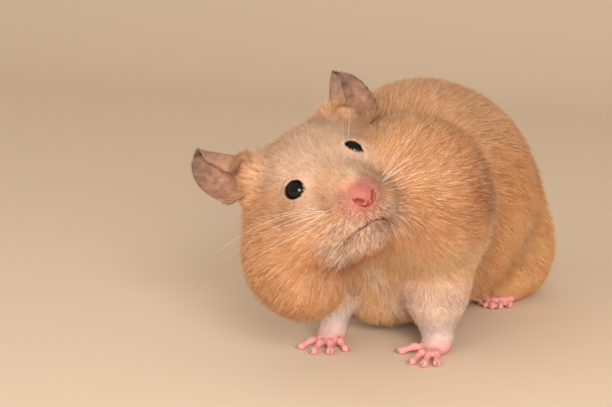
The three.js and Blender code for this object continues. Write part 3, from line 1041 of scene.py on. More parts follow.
@dataclass(frozen=True)
class Markings:
    """The animal's colours by place, for the skin and the coat alike, as linear red, green and blue; some
    patches are painted light and shade, noted where each is laid.
    """

    golden: Triple = (0.65, 0.325, 0.155)
    # amber: laid on the left pouch's outer side, and as painted shade on the underside of the right pouch
    amber: Triple = (0.54, 0.25, 0.105)
    # deep: painted shade for the left pouch's far edge, where it turns edge-on to the light
    deep: Triple = (0.33, 0.115, 0.038)
    flank: Triple = (0.71, 0.315, 0.12)
    # belly: a lighter orange for the low flanks: painted light lifting the shade there
    belly: Triple = (0.99, 0.445, 0.185)
    back: Triple = (0.75, 0.385, 0.195)
    # chest: the chest's orange raised to full brightness to lift the shade under the head: own colour and
    # painted light
    chest: Triple = (1.0, 0.51, 0.27)
    streak: Triple = (0.92, 0.60, 0.44)
    forehead: Triple = (0.74, 0.48, 0.34)
    bridge: Triple = (0.88, 0.50, 0.29)
    # a pale streak on the bridge, made brighter to offset the shade there: pale fur and painted light
    blaze_and_light: Triple = (1.0, 0.76, 0.52)
    # painted light on the slope beside the muzzle, before the left eye
    painted_glow: Triple = (0.96, 0.56, 0.36)
    cream: Triple = (0.78, 0.50, 0.34)
    pad: Triple = (0.47, 0.245, 0.17)
    white: Triple = (0.47, 0.285, 0.215)
    blush: Triple = (0.41, 0.165, 0.115)
    pink: Triple = (0.40, 0.115, 0.09)
    foot: Triple = (0.78, 0.34, 0.32)
    sleeve: Triple = (0.78, 0.52, 0.39)
    shin: Triple = (0.59, 0.455, 0.40)
    lip: Triple = (0.44, 0.20, 0.155)
    # raw: dark red in the nostrils and the crease under the nose's wings: moist skin and painted shade in the
    # openings
    raw: Triple = (0.27, 0.025, 0.022)
    lid: Triple = (0.10, 0.05, 0.035)
    tawny: Triple = (0.60, 0.27, 0.14)
    # cheek: painted shade under the right eye
    cheek: Triple = (0.42, 0.22, 0.12)
    # painted shade in the hollow under the chin, between the pouches
    throat_shade: Triple = (0.42, 0.14, 0.045)
    # crease: the line between the lips: dark hairs, and painted shade in the groove
    crease: Triple = (0.22, 0.075, 0.055)
    dark_hair: Triple = (0.15, 0.06, 0.04)
    pale_hair: Triple = (0.95, 0.74, 0.54)

    @staticmethod
    def lay(base: Array, colour: Triple, share: Array) -> Array:
        """A colour laid over others by a share."""
        return base + (np.array(colour) - base) * share[:, None]

    @staticmethod
    def spot(points: Array, centre: Triple, radii: Triple) -> Array:
        """A share that falls off about a centre as exp(-r^2), with r the distance over the radii."""
        away = (points - np.array(centre)) / np.array(radii)
        return np.exp(-(away**2).sum(axis=1))

    def colours(self, p: Array) -> Array:
        """The colour at each body point.

        Args:
            p: body points.

        Returns:
            One colour for each point: soft patches laid over each other from the back to the muzzle.
        """
        q = HEAD.to_head(p)
        base = np.tile(np.array(self.golden), (len(p), 1))
        parts = (self.trunk(p), self.pouches(p, q), self.face(q), self.muzzle(q), self.legs(p))
        for colour, share in chain(*parts):
            base = self.lay(base, colour, share)
        return base

    def trunk(self, p: Array) -> Patches:
        """The flanks, belly, back and chest, and the pale streak down the chest. The light orange on the low
        flanks is painted light, and the chest's raised orange is partly painted light.

        Args:
            p: body points.

        Yields:
            Colours and their shares, the topmost last.
        """
        x, y, z = p.T
        yield self.flank, fade(y, 14, 30) * fade(-z, -62, -40)
        # painted light: the low flanks are lightened where they lie in shade
        yield self.belly, fade(y, 20, 34) * fade(-z, -42, -24)
        yield self.back, fade(y, 10, 26) * fade(z, 46, 64) * fade(-y, -78, -55)
        # partly painted light: the chest's raised colour lifts the shade under the head
        breast = fade(-y, -24, -12) * fade(-z, -34, -26) * fade(-np.abs(x + 1), -16, -9)
        yield self.chest, breast
        along = np.clip((24.5 - z) / 11.6, -0.3, 1.1)
        across = np.abs(x + 3.1 - 4.0 * along)
        streak = 0.8 * fade(-across, -3.4, -1.0) * fade(-y, -12, -4) * fade(-z, -29, -25)
        yield self.streak, streak
        under = 0.5 * fade(-z, -9, -4) * fade(-np.abs(x), -20, -10) * fade(y, 10, 24)
        yield self.cream, under

    def pouches(self, p: Array, q: Array) -> Patches:
        """The two pouches, darker to the side and below, and a dark spot in the hollow under the chin between
        them. The darkening at the left pouch's far edge, under the right pouch and in that hollow is painted
        shade, and the chest colour on the bottom of the left pouch is partly painted light.

        Args:
            p: body points.
            q: the same points in the head's frame.

        Yields:
            Colours and their shares, the topmost last.
        """
        x, z = p[:, 0], p[:, 2]
        on_left = fade(-FORM.pouches[LEFT].distance(q), -4.0, -1.0)
        yield self.amber, on_left * fade(x, 5, 15) * fade(z, 30, 44)
        # painted shade: the left pouch darkens towards its far edge, where it turns edge-on to the light
        yield self.deep, 0.9 * on_left * fade(x, 21, 29) * fade(z, 34, 46)
        # partly painted light: the bottom of the left pouch takes the chest's raised colour, lifting the
        # shade under the pouch
        yield self.chest, on_left * fade(-z, -40, -28)
        on_right = fade(-FORM.pouches[RIGHT].distance(q), -4.0, -1.0)
        # painted shade: the underside of the right pouch is darkened with amber
        yield self.amber, 0.65 * on_right * fade(-z, -50, -34)
        # painted shade in the hollow under the chin, between the pouches
        yield self.throat_shade, self.spot(p, (3.0, -30.5, 31.2), (8.0, 7.0, 3.8))

    def face(self, q: Array) -> Patches:
        """The forehead, the bridge, the places before and under the eyes, and the pale streak on the bridge.
        The lightened slope before the left eye is painted light, the dark patch under the right eye is
        painted shade, and the streak on the bridge is pale fur made brighter with painted light.

        Args:
            q: points in the head's frame.

        Yields:
            Colours and their shares, the topmost last.
        """
        x, y, z = q.T
        in_face = fade(-FORM.face(q), -4.0, -1.0)
        high = fade(z, -8, -1) * fade(-np.abs(x), -17, -9)
        yield self.forehead, in_face * high * fade(-y, -20, -4) * 0.9
        middle = fade(-np.hypot(x, z + 3), -7, -3)
        yield self.bridge, in_face * middle * fade(-y, 2, 8)
        tawny = np.exp(-(((np.abs(x) - 5.8) / 1.9) ** 2 + ((y + 10.5) / 2.6) ** 2)) * fade(-x, -2, 2)
        yield self.tawny, 0.6 * tawny * in_face
        # painted light: the slope beside the muzzle is lightened where it faces away from the light
        yield self.painted_glow, 0.8 * self.spot(q, (7.0, -9.2, 0.2), (4.0, 2.6, 3.0))
        # painted shade: a dark patch under the right eye
        yield self.cheek, 0.9 * self.spot(q, (-14.6, -3.0, -2.4), (6.0, 6.0, 3.8))
        # pale fur and painted light: the streak on the bridge is brightened where it lies in shade
        blaze_and_light = np.exp(-(((x - 2.6) / 1.3) ** 2 + ((y + 13.8) / 2.6) ** 2)) * fade(z, -4, -1)
        yield self.blaze_and_light, blaze_and_light * in_face

    def muzzle(self, q: Array) -> Patches:
        """The chin, the whisker pads, the nose, the lips and the rims of the lids. The dark red of the
        nostrils and the crease under the nose's wings, and the dark line between the lips, are partly painted
        shade.

        Args:
            q: points in the head's frame.

        Yields:
            Colours and their shares, the topmost last.
        """
        flat = MUZZLE.flat(q)
        mouth, below = MUZZLE.mouth(flat), MUZZLE.below(flat)
        nose = np.linalg.norm(q - NOSE_TIP, axis=1)
        front = fade(-q[:, 1], 0.0, 8.0)
        chin = front * fade(-mouth, -8.0, -4.5) * fade(below, -1.2, 0.6)
        yield self.white, 0.85 * chin
        yield self.pad, front * fade(-mouth, -6.5, -3.0) * fade(-below, 0.0, 2.0)
        rosy = fade(-nose, -8.0, -5.2) * 0.9 * (1 - 0.75 * fade(q[:, 2], -2.2, 0.2))
        yield self.blush, rosy
        yield self.pink, fade(-nose, -4.6, -3.0)
        # moist skin and painted shade: dark red laid in the nostrils and the crease under the nose's wings
        slits = np.minimum(MUZZLE.nostrils(flat), MUZZLE.wings(flat) + 0.05)
        yield self.raw, 0.9 * fade(-nose, -5.0, -4.0) * fade(-slits, -0.46, -0.16)
        lower = fade(-np.abs(below - 0.9), -1.4, -0.5) * fade(-mouth, -2.0, -1.1)
        yield self.lip, 0.85 * front * np.maximum(fade(-mouth, -0.8, -0.3), lower)
        # dark hairs and painted shade: the line between the lips
        yield self.crease, front * fade(-mouth, -0.58, -0.28)
        for eye in EYES.values():
            near = fade(-eye.gap(q), -EYE_RADIUS - 1.4, -EYE_RADIUS - 0.8)
            yield self.lid, near * fade(-eye.opening(q), -0.45, -0.15)

    def legs(self, p: Array) -> Patches:
        """The pale sleeves and shins, the pink feet and the tail's tip.

        Args:
            p: body points.

        Yields:
            Colours and their shares, the topmost last.
        """
        y, z = p[:, 1], p[:, 2]
        feet = FORM.paws(p)
        for leg in FORM.forelegs:
            near = fade(-leg.leg(p), -3.0, 0.0) * fade(-y, -15, -9)
            # the top of each leg takes the chest's colour, which is partly painted light
            yield self.chest, near * fade(-z, -38, -26)
            yield self.sleeve, near * fade(-z, -27, -16)
            yield self.shin, near * fade(-z, -16, -5)
        yield self.shin, fade(-feet, -4.0, -1.5) * fade(-y, -50, -30)
        yield self.foot, fade(-feet, -2.5, -0.6) * fade(y, 30, 50)
        yield self.foot, fade(-feet, -1.0, -0.2) * (0.25 + 0.75 * fade(-z, -4.2, -2.6))
        yield self.blush, fade(-FORM.tail.distance(p), -1.5, 0.0) * fade(y, 88, 94)


MARKINGS = Markings()


# ------------------------------------------------------------------------------------ skin


@dataclass
class Skin:
    """One seamless skin over head, pouches, trunk, legs, feet and tail."""

    replaced: tuple[str, ...] = (
        "trunk", "neck", "tail", "head", "nose", "cheek_pouch_left", "cheek_pouch_right",
        "foreleg_left", "foreleg_right", "forepaw_left", "forepaw_right",
        "haunch_left", "haunch_right", "hind_foot_left", "hind_foot_right",
    )
    fine: float = 0.62
    coarse: float = 1.15
    corners: Array = field(default_factory=lambda: np.empty((0, 3)))
    faces: Array = field(default_factory=lambda: np.empty((0, 3), int))
    normals: Array = field(default_factory=lambda: np.empty((0, 3)))

    def net(self) -> SurfaceNet:
        """The grid: fine over face and feet."""
        f, c = self.fine, self.coarse
        return SurfaceNet(
            xs=graded(-47, [(-28, c), (20, f), (34, c)]),
            ys=graded(-40, [(0, f), (104, c)]),
            zs=graded(-1.5, [(6.5, 0.5), (32, c), (64, f), (79, c)]),
        )

    def build(self) -> bpy.types.Object:
        """Meshes the skin's field and puts it in place of the solids of flesh."""
        corners, faces = self.net().build(FORM.skin)
        log.info("skin: %d quads before the face is refined", len(faces))
        q = HEAD.to_head(corners[faces].mean(axis=1))
        flat = MUZZLE.flat(q)
        muzzle = (q[:, 1] < -10) & (np.abs(flat[:, 0]) < 6.6) & (flat[:, 1] > -10.5) & (flat[:, 1] < 5.0)
        lids = np.zeros(len(faces), bool)
        for eye in EYES.values():
            lids |= (np.abs(eye.opening(q)) < 1.9) & (eye.gap(q) < EYE_RADIUS + 1.6)
        toes = FORM.paws(corners[faces].mean(axis=1)) < 0.9
        corners, faces = refined(corners, faces, [(muzzle | lids, 2), (toes & ~muzzle & ~lids, 1)])
        for _ in range(3):
            corners = SurfaceNet.settle(corners, FORM.skin)
        self.corners, self.faces = corners, faces
        self.normals = corner_normals(self.corners, self.faces)
        piece = add_mesh("skin", self.corners, self.faces)
        # painted shade: the skin is painted a little darker than the markings, for the shade under the coat;
        # bare skin is darkened alike
        paint(piece, MARKINGS.colours(self.corners) * 0.92)
        nose = np.linalg.norm(HEAD.to_head(self.corners) - NOSE_TIP, axis=1)
        mark(piece, fade(-nose, -4.0, -2.6), "wet")
        dress(piece, SkinFinish().material(), Slot.BARE_SKIN, *self.replaced)
        return piece


# ------------------------------------------------------------------------------------ coat


@dataclass(frozen=True)
class Lie:
    """Which way the coat lies: away from the nose over head and pouches, back and down elsewhere."""

    crown: Triple = (0.0, 1.0, -0.28)

    def direction(self, p: Array, normals: Array) -> Array:
        """The direction of the hairs at points of the skin, level with it.

        Args:
            p: body points on the skin.
            normals: the skin's normals there.

        Returns:
            Directions of length one, at right angles to the normals.
        """
        q = HEAD.to_head(p)
        from_nose = unit(q - (NOSE_TIP + np.array([0.0, 2.5, -1.5])))
        over_head = from_nose @ HEAD.turn().T
        back = np.tile(np.array(self.crown), (len(p), 1))
        back[:, 2] -= 0.5 * fade(np.abs(p[:, 0]), 8, 28)
        back[:, 0] += 0.25 * np.sign(p[:, 0]) * fade(-np.abs(p[:, 0]), -18, -4) * fade(-p[:, 2], -22, -8)
        head = np.minimum(FORM.face(q), np.minimum(*(FORM.pouches[s].distance(q) for s in (LEFT, RIGHT))))
        trunk = blend(9.0, *(part.distance(p) for part in FORM.trunk_masses))
        on_head = fade(trunk - head, -3.0, 4.0)
        flow = back * (1 - on_head[:, None]) + over_head * on_head[:, None]
        for leg in FORM.forelegs:
            near = fade(-leg.leg(p), -2.5, -0.3) * fade(-p[:, 2], -27, -14)
            flow = flow + near[:, None] * np.array([0.0, -0.15, -2.2])
        feet = fade(-FORM.paws(p), -5.0, -1.0)
        flow = flow + feet[:, None] * np.array([0.0, -1.6, -0.3])
        level = flow - (flow * normals).sum(axis=1, keepdims=True) * normals
        return unit(level)


def cell_noise(points: Array, size: float, seed: int) -> tuple[Array, Array]:
    """The nearest of scattered centres to each point, one centre to each cube of space.

    A cube's centre is moved about in it by a sine hash of its number; the nearest of the 27 centres in
    and round the point's own cube is kept.

    Args:
        points: where to look.
        size: the cubes' side.
        seed: which scatter to use.

    Returns:
        The nearest centres, and a random number from 0 to 1 for each.
    """
    cube = np.floor(points / size)
    best = np.full(len(points), np.inf)
    centre = np.zeros_like(points)
    chance = np.zeros(len(points))
    keys = np.array([[127.1, 311.7, 74.7], [269.5, 183.3, 246.1], [113.5, 271.9, 124.6], [91.3, 57.7, 191.9]])
    for step in np.ndindex(3, 3, 3):
        cell = cube + np.array(step) - 1
        hashed = np.abs(np.sin(cell @ keys.T + seed) * 43758.5453) % 1.0
        place = (cell + hashed[:, :3]) * size
        gap = ((place - points) ** 2).sum(axis=1)
        closer = gap < best
        best = np.where(closer, gap, best)
        centre[closer] = place[closer]
        chance[closer] = hashed[closer, 3]
    return centre, chance


def soft_noise(points: Array, size: float, seed: int) -> Array:
    """A slow unevenness from -1 to 1: the mean of a few sine waves in scattered directions."""
    rng = np.random.default_rng(seed)
    total = np.zeros(len(points))
    for _ in range(6):
        wave = unit(rng.normal(size=3)) * (2 * math.pi / size) * rng.uniform(0.7, 1.5)
        total += np.sin(points @ wave + rng.uniform(0, 6.28))
    return total / 3.0


def sprinkle(rng: np.random.Generator, chance: Array, count: int) -> tuple[Array, Array]:
    """Random places on triangles, each triangle chosen by its chance.

    Args:
        rng: the random source.
        chance: one number for each triangle.
        count: how many places.

    Returns:
        The chosen triangles' numbers, and the shares of their first, second and third corners.
    """
    pick = rng.choice(len(chance), count, p=chance / chance.sum())
    u, v = rng.random((2, count))
    flip = u + v > 1
    u, v = np.where(flip, 1 - u, u)[:, None], np.where(flip, 1 - v, v)[:, None]
    return pick, np.stack([1 - u - v, u, v])


class Unwrap(Enum):
    """How a region's shape is laid flat."""

    DOME = "dome"
    BARREL = "barrel"


@dataclass(frozen=True)
class Region:
    """A stretch of coat: where it is, and how thick and long its tufts are."""

    name: str
    count: int
    length: float
    width: float
    unwrap: Unwrap
    centre: Triple
    axis: Triple
    slot: Slot = Slot.COAT

    def flat(self, p: Array) -> Array:
        """Root places laid flat.

        A dome is laid out from its pole with r = sin(half the angle from the pole), which keeps areas.
        A barrel is cut along its back: the angle about the axis across, the way along it up.

        Args:
            p: root places.

        Returns:
            Places in the unit square.
        """
        away = p - np.array(self.centre)
        pole = unit(np.array(self.axis, float))
        helper = np.array([0.0, 0.0, 1.0]) if abs(pole[2]) < 0.9 else np.array([1.0, 0.0, 0.0])
        side = unit(np.cross(helper, pole))
        up = np.cross(pole, side)
        round_angle = np.arctan2(away @ up, away @ side)
        if self.unwrap is Unwrap.BARREL:
            along = away @ pole
            share = (along - along.min()) / max(float(np.ptp(along)), 1e-6)
            return np.stack([0.01 + 0.98 * (round_angle / (2 * math.pi) + 0.5), 0.01 + 0.98 * share], axis=1)
        reach = np.sqrt(np.clip((1 - unit(away) @ pole) / 2, 0, 1)) * 0.49
        return 0.5 + np.stack([reach * np.cos(round_angle), reach * np.sin(round_angle)], axis=1)


class Ground(IntEnum):
    """What a point of the skin carries, numbered in the order of the coat's regions."""

    BARE = -1
    FACE = 0
    CROWN = 1
    POUCH_LEFT = 2
    POUCH_RIGHT = 3
    CHEST = 4
    FLANKS = 5
    RUMP = 6
    LEGS = 7


HALF_PATCH = 0.0015


def spikes(region: Region, root: Array, tip: Array, up: Array, across: Array, width: Array,
           colour: Array) -> bpy.types.Object:
    """One region's tufts as a mesh of closed four-faced spikes.

    Each has a left and a right corner at the root, a raised ridge corner behind them, and the tip.

    Args:
        region: the region.
        root: root places.
        tip: tips.
        up: normals of the skin at the roots.
        across: directions across the tufts.
        width: their widths.
        colour: their colours.

    Returns:
        The piece.
    """
    count = len(root)
    half = across * (width / 2)[:, None]
    sunk = root - up * 0.12
    ridge = root + up * (width * 0.42)[:, None] + (tip - root) * 0.06
    corners = np.stack([sunk - half, sunk + half, ridge, tip], axis=1).reshape(-1, 3)
    base = np.arange(count)[:, None] * 4
    faces = np.concatenate([base + np.array(face) for face in ((0, 3, 2), (2, 3, 1), (1, 3, 0), (0, 2, 1))])
    piece = add_mesh(region.name, corners, faces)
    # painted shade: each tuft is darker and warmer at its root, deep in the coat, and lighter at its tip
    along = np.array([0.62, 0.62, 0.80, 1.12])
    warm = np.array([[1.0, 0.90, 0.80], [1.0, 0.90, 0.80], [1.0, 0.95, 0.9], [1.0, 1.0, 1.0]])
    tints = colour[:, None, :] * along[None, :, None] * warm[None, :, :]
    paint(piece, np.clip(tints, 0, 0.95).reshape(-1, 3))
    normals = np.repeat(up, 4, axis=0).reshape(count, 4, 3)
    outward = unit(tip - root)
    normals[:, 0] = unit(up - across * 0.9)
    normals[:, 1] = unit(up + across * 0.9)
    normals[:, 3] = unit(up + outward * 0.15)
    piece.data.normals_split_custom_set_from_vertices(normals.reshape(-1, 3).astype(np.float32))
    unwrap(piece, region, root, faces)
    dress(piece, CoatFinish.shared(), region.slot)
    return piece


def unwrap(piece: bpy.types.Object, region: Region, root: Array, faces: Array) -> None:
    """Gives each tuft its own small patch at its root's place on the laid-flat skin.

    Args:
        piece: the coat piece.
        region: its region.
        root: root places.
        faces: the tufts' corner numbers.
    """
    h = HALF_PATCH
    corners = np.array([[-h, -h], [h, -h], [0.0, 0.0], [0.0, h]])
    spots = (region.flat(root)[:, None, :] + corners[None]).reshape(-1, 2)
    layer = piece.data.uv_layers.new(name="OFBake")
    layer.data.foreach_set("uv", np.clip(spots, 0, 1)[faces.ravel()].astype(np.float32).ravel())


@dataclass
class Coat:
    """The fur: closed spikes rooted in the skin, leaning along the lie of the coat, gathered into locks."""

    skin: Skin
    seed: int = 7
    lie: Lie = field(default_factory=Lie)
    regions: tuple[Region, ...] = (
        Region("coat_face", 46000, 3.4, 0.19, Unwrap.DOME, (-9, -14, 47), (-0.3, -1, 0.3)),
        Region("coat_crown", 30000, 4.2, 0.24, Unwrap.DOME, (-9, -8, 50), (-0.3, 0.2, 1)),
        Region("coat_pouch_left", 49000, 5.0, 0.23, Unwrap.DOME, (4, -6, 40), (0.8, -0.6, 0)),
        Region("coat_pouch_right", 46000, 4.8, 0.23, Unwrap.DOME, (-22, -16, 30), (-0.8, -0.6, -0.2)),
        Region("coat_chest", 30000, 5.0, 0.26, Unwrap.BARREL, (-2, 10, 30), (0, 1, 0)),
        Region("coat_flanks", 49000, 6.5, 0.30, Unwrap.BARREL, (0, 40, 34), (0, 1, 0)),
        Region("coat_rump", 49000, 6.8, 0.30, Unwrap.BARREL, (0, 70, 32), (0, 1, 0)),
        Region("coat_legs", 26000, 2.8, 0.20, Unwrap.BARREL, (0, 5, 12), (0, 0, 1), Slot.PALE_COAT),
    )

    def choose(self, p: Array) -> Array:
        """The ground at each skin point: the nearest form, cut along the trunk, less what is bare."""
        q = HEAD.to_head(p)
        face = FORM.face(q)
        pouch = {side: FORM.pouches[side].distance(q) for side in (LEFT, RIGHT)}
        trunk = blend(9.0, *(part.distance(p) for part in FORM.trunk_masses))
        legs = np.minimum(FORM.forelegs[0].leg(p), FORM.forelegs[1].leg(p))
        legs = np.where(p[:, 2] < 22, legs - 1.0, FAR)
        paws = FORM.paws(p)
        stack = np.stack([face, pouch[LEFT], pouch[RIGHT], trunk, np.minimum(legs, paws - 1.0)], axis=1)
        nearest = stack.argmin(axis=1)
        found = np.full(len(p), Ground.FLANKS.value)
        crown, along = q[:, 1] > 5.0, p[:, 1]
        found[(nearest == 0) & ~crown] = Ground.FACE
        found[(nearest == 0) & crown] = Ground.CROWN
        found[nearest == 1] = Ground.POUCH_LEFT
        found[nearest == 2] = Ground.POUCH_RIGHT
        found[(nearest == 3) & (along < 22)] = Ground.CHEST
        found[(nearest == 3) & (along >= 58)] = Ground.RUMP
        found[nearest == 4] = Ground.LEGS
        nose = np.linalg.norm(q - NOSE_TIP, axis=1)
        flat = MUZZLE.flat(q)
        below = MUZZLE.below(flat)
        lips = (MUZZLE.mouth(flat) < 0.26) | ((below > 0) & (below < 1.0) & (MUZZLE.mouth(flat) < 0.9))
        bare = (nose < 3.6) | (lips & (q[:, 1] < -8)) | ((paws < 0.05) & (p[:, 2] < 3.3)) | (p[:, 2] < 0.3)
        for eye in EYES.values():
            bare |= (eye.opening(q) < 0.30) & (eye.gap(q) < EYE_RADIUS + 1.5)
        found[bare] = Ground.BARE
        return found

    def scatter(self, rng: np.random.Generator) -> tuple[Array, Array, Array]:
        """Root places spread evenly over each region of the skin.

        Args:
            rng: the random source.

        Returns:
            Root places, normals there, and region numbers.
        """
        corners, faces, normals = self.skin.corners, self.skin.faces, self.skin.normals
        a, b, c = (corners[faces[:, k]] for k in range(3))
        area = np.linalg.norm(np.cross(b - a, c - a), axis=1) / 2
        region = self.choose((a + b + c) / 3)
        places, ups, numbers = [], [], []
        for number, wanted in enumerate(self.regions):
            own = np.flatnonzero(region == number)
            chance = area[own] * self.thickness((a[own] + b[own] + c[own]) / 3)
            log.info("%s: %.0f mm2", wanted.name, area[own].sum())
            pick, (w, u, v) = sprinkle(rng, chance, wanted.count)
            pick = own[pick]
            places.append(a[pick] * w + b[pick] * u + c[pick] * v)
            n = [normals[faces[pick, k]] for k in range(3)]
            ups.append(unit(n[0] * w + n[1] * u + n[2] * v))
            numbers.append(np.full(wanted.count, number))
        return np.concatenate(places), np.concatenate(ups), np.concatenate(numbers)

    @staticmethod
    def thickness(p: Array) -> Array:
        """How dense the tufts are: thin beside nose and paws, thick over the face."""
        q = HEAD.to_head(p)
        nose = np.linalg.norm(q - NOSE_TIP, axis=1)
        return (0.25 + 0.75 * fade(nose, 3.0, 8.0)) * (0.35 + 0.65 * fade(FORM.paws(p), 0.2, 2.5))

    def grow(self) -> list[bpy.types.Object]:
        """Makes every region's piece: each tuft runs along the lie, turned by a little chance.

        Returns:
            The coat's pieces.
        """
        rng = np.random.default_rng(self.seed)
        root, up, number = self.scatter(rng)
        count = len(root)
        flow = self.lie.direction(root, up)
        across = np.cross(up, flow)
        turn = rng.normal(0, 0.16, count) + 0.16 * soft_noise(root, 14.0, 3)
        flow = flow * np.cos(turn)[:, None] + across * np.sin(turn)[:, None]
        across = np.cross(up, flow)
        small, lips, beard = self.smallness(root)
        length = np.array([r.length for r in self.regions])[number] * small * rng.uniform(0.72, 1.25, count)
        width = np.array([r.width for r in self.regions])[number] * (0.55 + 0.45 * small)
        width = width * rng.uniform(0.75, 1.25, count)
        tip, chance = self.tips(rng, root, up, flow, length, small, beard)
        rough = np.where(small > 0.7, 1.5, 0.9) * (1 - 0.45 * (number == Ground.LEGS))
        colour = MARKINGS.colours(root + flow * (length * 0.5)[:, None])
        colour = self.tints(rng, root, colour, rough, chance, lips)
        pieces = []
        for index, region in enumerate(self.regions):
            own = number == index
            pieces.append(spikes(region, root[own], tip[own], up[own], across[own], width[own], colour[own]))
        return pieces

    @staticmethod
    def smallness(root: Array) -> tuple[Array, Array, Array]:
        """How small tufts are, as they shrink towards nose, feet and eyes.

        Args:
            root: root places.

        Returns:
            Shares of the region's own size, and how much each place belongs to the lips and the beard.
        """
        q = HEAD.to_head(root)
        nose = np.linalg.norm(q - NOSE_TIP, axis=1)
        short = np.clip(0.16 + 0.062 * (nose - 3.0), 0.16, 1.0)
        feet = np.clip(0.22 + 0.12 * FORM.paws(root), 0.22, 1.0)
        eyes = np.ones(len(root))
        for eye in EYES.values():
            eyes = np.minimum(eyes, np.clip(0.2 + 0.1 * (eye.gap(q) - 3.7), 0.2, 1.0))
        flat = MUZZLE.flat(q)
        lips = fade(-MUZZLE.mouth(flat), -8.0, -3.0) * fade(-q[:, 1], 4.0, 8.0)
        beard = lips * fade(MUZZLE.below(flat), 1.0, 4.0)
        return np.minimum(np.minimum(short, feet), eyes) * (1 + 0.5 * beard), lips, beard

    @staticmethod
    def tips(rng: np.random.Generator, root: Array, up: Array, flow: Array, length: Array,
             small: Array, beard: Array) -> tuple[Array, Array]:
        """Where the tufts end.

        A tip is drawn towards the centre of its lock, and then moved along the slope of the coat's outer
        level until it is near that level; one tuft in twenty stands out from it.

        Args:
            rng: the random source.
            root: root places.
            up: the skin's normals there.
            flow: the tufts' directions.
            length: their lengths.
            small: their shares of full size.
            beard: how much each belongs to the beard.

        Returns:
            The tips, and a random number for the lock of each.
        """
        count = len(root)
        depth = FORM.depth(root)
        level = depth * rng.uniform(-0.55, 0.28, count)
        stray = rng.random(count) < 0.05
        level = np.where(stray, level + 0.2 + 0.40 * depth, level) + 0.3 * beard * rng.random(count)
        tip = root + flow * length[:, None] + up * depth[:, None]
        lock, chance = cell_noise(tip, 2.1, 11)
        pull = (lock - tip) * (0.30 * np.minimum(1.0, small * 1.3))[:, None]
        pull -= (pull * up).sum(axis=1, keepdims=True) * up
        tip = tip + pull
        value, slope = gradient(FORM.coat, tip)
        steep = np.maximum((slope * slope).sum(axis=1), 0.25)
        move = slope * ((level - value) / steep)[:, None]
        size = np.maximum(np.linalg.norm(move, axis=1, keepdims=True), 1e-9)
        tip = tip + move * np.minimum(1.0, (0.45 * length[:, None] + 0.4) / size)
        tip[:, 2] = np.maximum(tip[:, 2], 0.05)
        return tip, chance

    @staticmethod
    def tints(rng: np.random.Generator, root: Array, colour: Array, rough: Array, chance: Array,
              lips: Array) -> Array:
        """The tufts' colours: unevenly light, richer where darker, with dark and pale hairs at the mouth.

        Args:
            rng: the random source.
            root: root places.
            colour: the markings there.
            rough: how uneven each tuft's place is.
            chance: the random number of its lock.
            lips: how much it belongs to the lips.

        Returns:
            One colour for each tuft.
        """
        count = len(root)
        shade = 1.0 + rough * (0.12 * rng.normal(size=count) + 0.16 * (chance - 0.5))
        shade = shade + 0.06 * soft_noise(root, 9.0, 5)
        dull, bright = np.clip(shade, 0.5, 1.0)[:, None], np.clip(shade, 1.0, 1.35)[:, None]
        colour = np.minimum(colour * dull ** np.array([0.85, 1.2, 1.45]) * bright, 0.94)
        q = HEAD.to_head(root)
        flat = MUZZLE.flat(q)
        above_lip = fade(-MUZZLE.mouth(flat), -1.6, -0.7) * (MUZZLE.below(flat) < 0.0)
        brim = above_lip * (q[:, 1] < -6) * (flat[:, 0] < 4.6)
        colour = MARKINGS.lay(colour, MARKINGS.dark_hair, 0.85 * brim * (rng.random(count) < 0.7))
        pale = 0.5 * (rng.random(count) < 0.14 + 0.18 * lips)
        return MARKINGS.lay(colour, MARKINGS.pale_hair, pale * (1 + 0.5 * lips))


# ------------------------------------------------------------------------------------ eyes


@dataclass(frozen=True)
class Eye:
    """A black bead with a clear bulge at its front."""

    side: int
    rings: int = 48

    def build(self) -> bpy.types.Object:
        """A sphere by angle from the front and angle round, its cap pushed out a little."""
        eye = EYES[self.side]
        centre = eye.centre
        front, across, up = eye.axes()
        polar, around = np.meshgrid(
            np.linspace(0, math.pi, self.rings)[1:-1],
            np.linspace(0, 2 * math.pi, 2 * self.rings, endpoint=False),
            indexing="ij",
        )
        radius = EYE_RADIUS * (1 + 0.03 * np.exp(-((polar / 0.6) ** 2)))
        grid = centre + radius[..., None] * (
            np.cos(polar)[..., None] * front
            + (np.sin(polar) * np.cos(around))[..., None] * across
            + (np.sin(polar) * np.sin(around))[..., None] * up
        )
        poles = np.array([centre + front * EYE_RADIUS * 1.03, centre - front * EYE_RADIUS])
        corners, faces = closed_grid(grid, poles)
        piece = add_mesh("eyeball_" + side_name(self.side), HEAD.to_body(corners), faces)
        dress(piece, EyeFinish().material(), Slot.EYE, "eye_" + side_name(self.side))
        return piece


def closed_grid(grid: Array, poles: Array) -> tuple[Array, Array]:
    """Triangles over a grid that closes on itself across, capped by two poles.

    Args:
        grid: rows by columns of points; the last column meets the first.
        poles: the point before the first row and the point after the last.

    Returns:
        The corners, and triangles that face outwards where columns run counterclockwise about the way
        from the last pole to the first.
    """
    corners = np.concatenate([grid.reshape(-1, 3), poles])
    return corners, facing_out(corners, wrapped(*grid.shape[:2]))


def wrapped(rows: int, columns: int) -> Array:
    """Triangles over rows of corners that close on themselves, capped by the two corners after them."""
    number = np.arange(rows * columns).reshape(rows, columns)
    right = np.roll(number, -1, axis=1)
    a, b, c, d = number[:-1], number[1:], right[1:], right[:-1]
    sides = [np.stack([a, b, c], axis=-1).reshape(-1, 3), np.stack([a, c, d], axis=-1).reshape(-1, 3)]
    first, last = rows * columns, rows * columns + 1
    top = np.stack([np.full(columns, first), number[0], right[0]], axis=1)
    bottom = np.stack([np.full(columns, last), right[-1], number[-1]], axis=1)
    return np.concatenate([*sides, top, bottom])


def facing_out(corners: Array, faces: Array) -> Array:
    """The triangles, all turned round if the volume they enclose is negative."""
    a, b, c = (corners[faces[:, k]] for k in range(3))
    return faces if (a * np.cross(b, c)).sum() > 0 else faces[:, ::-1]


# ------------------------------------------------------------------------------------ ears


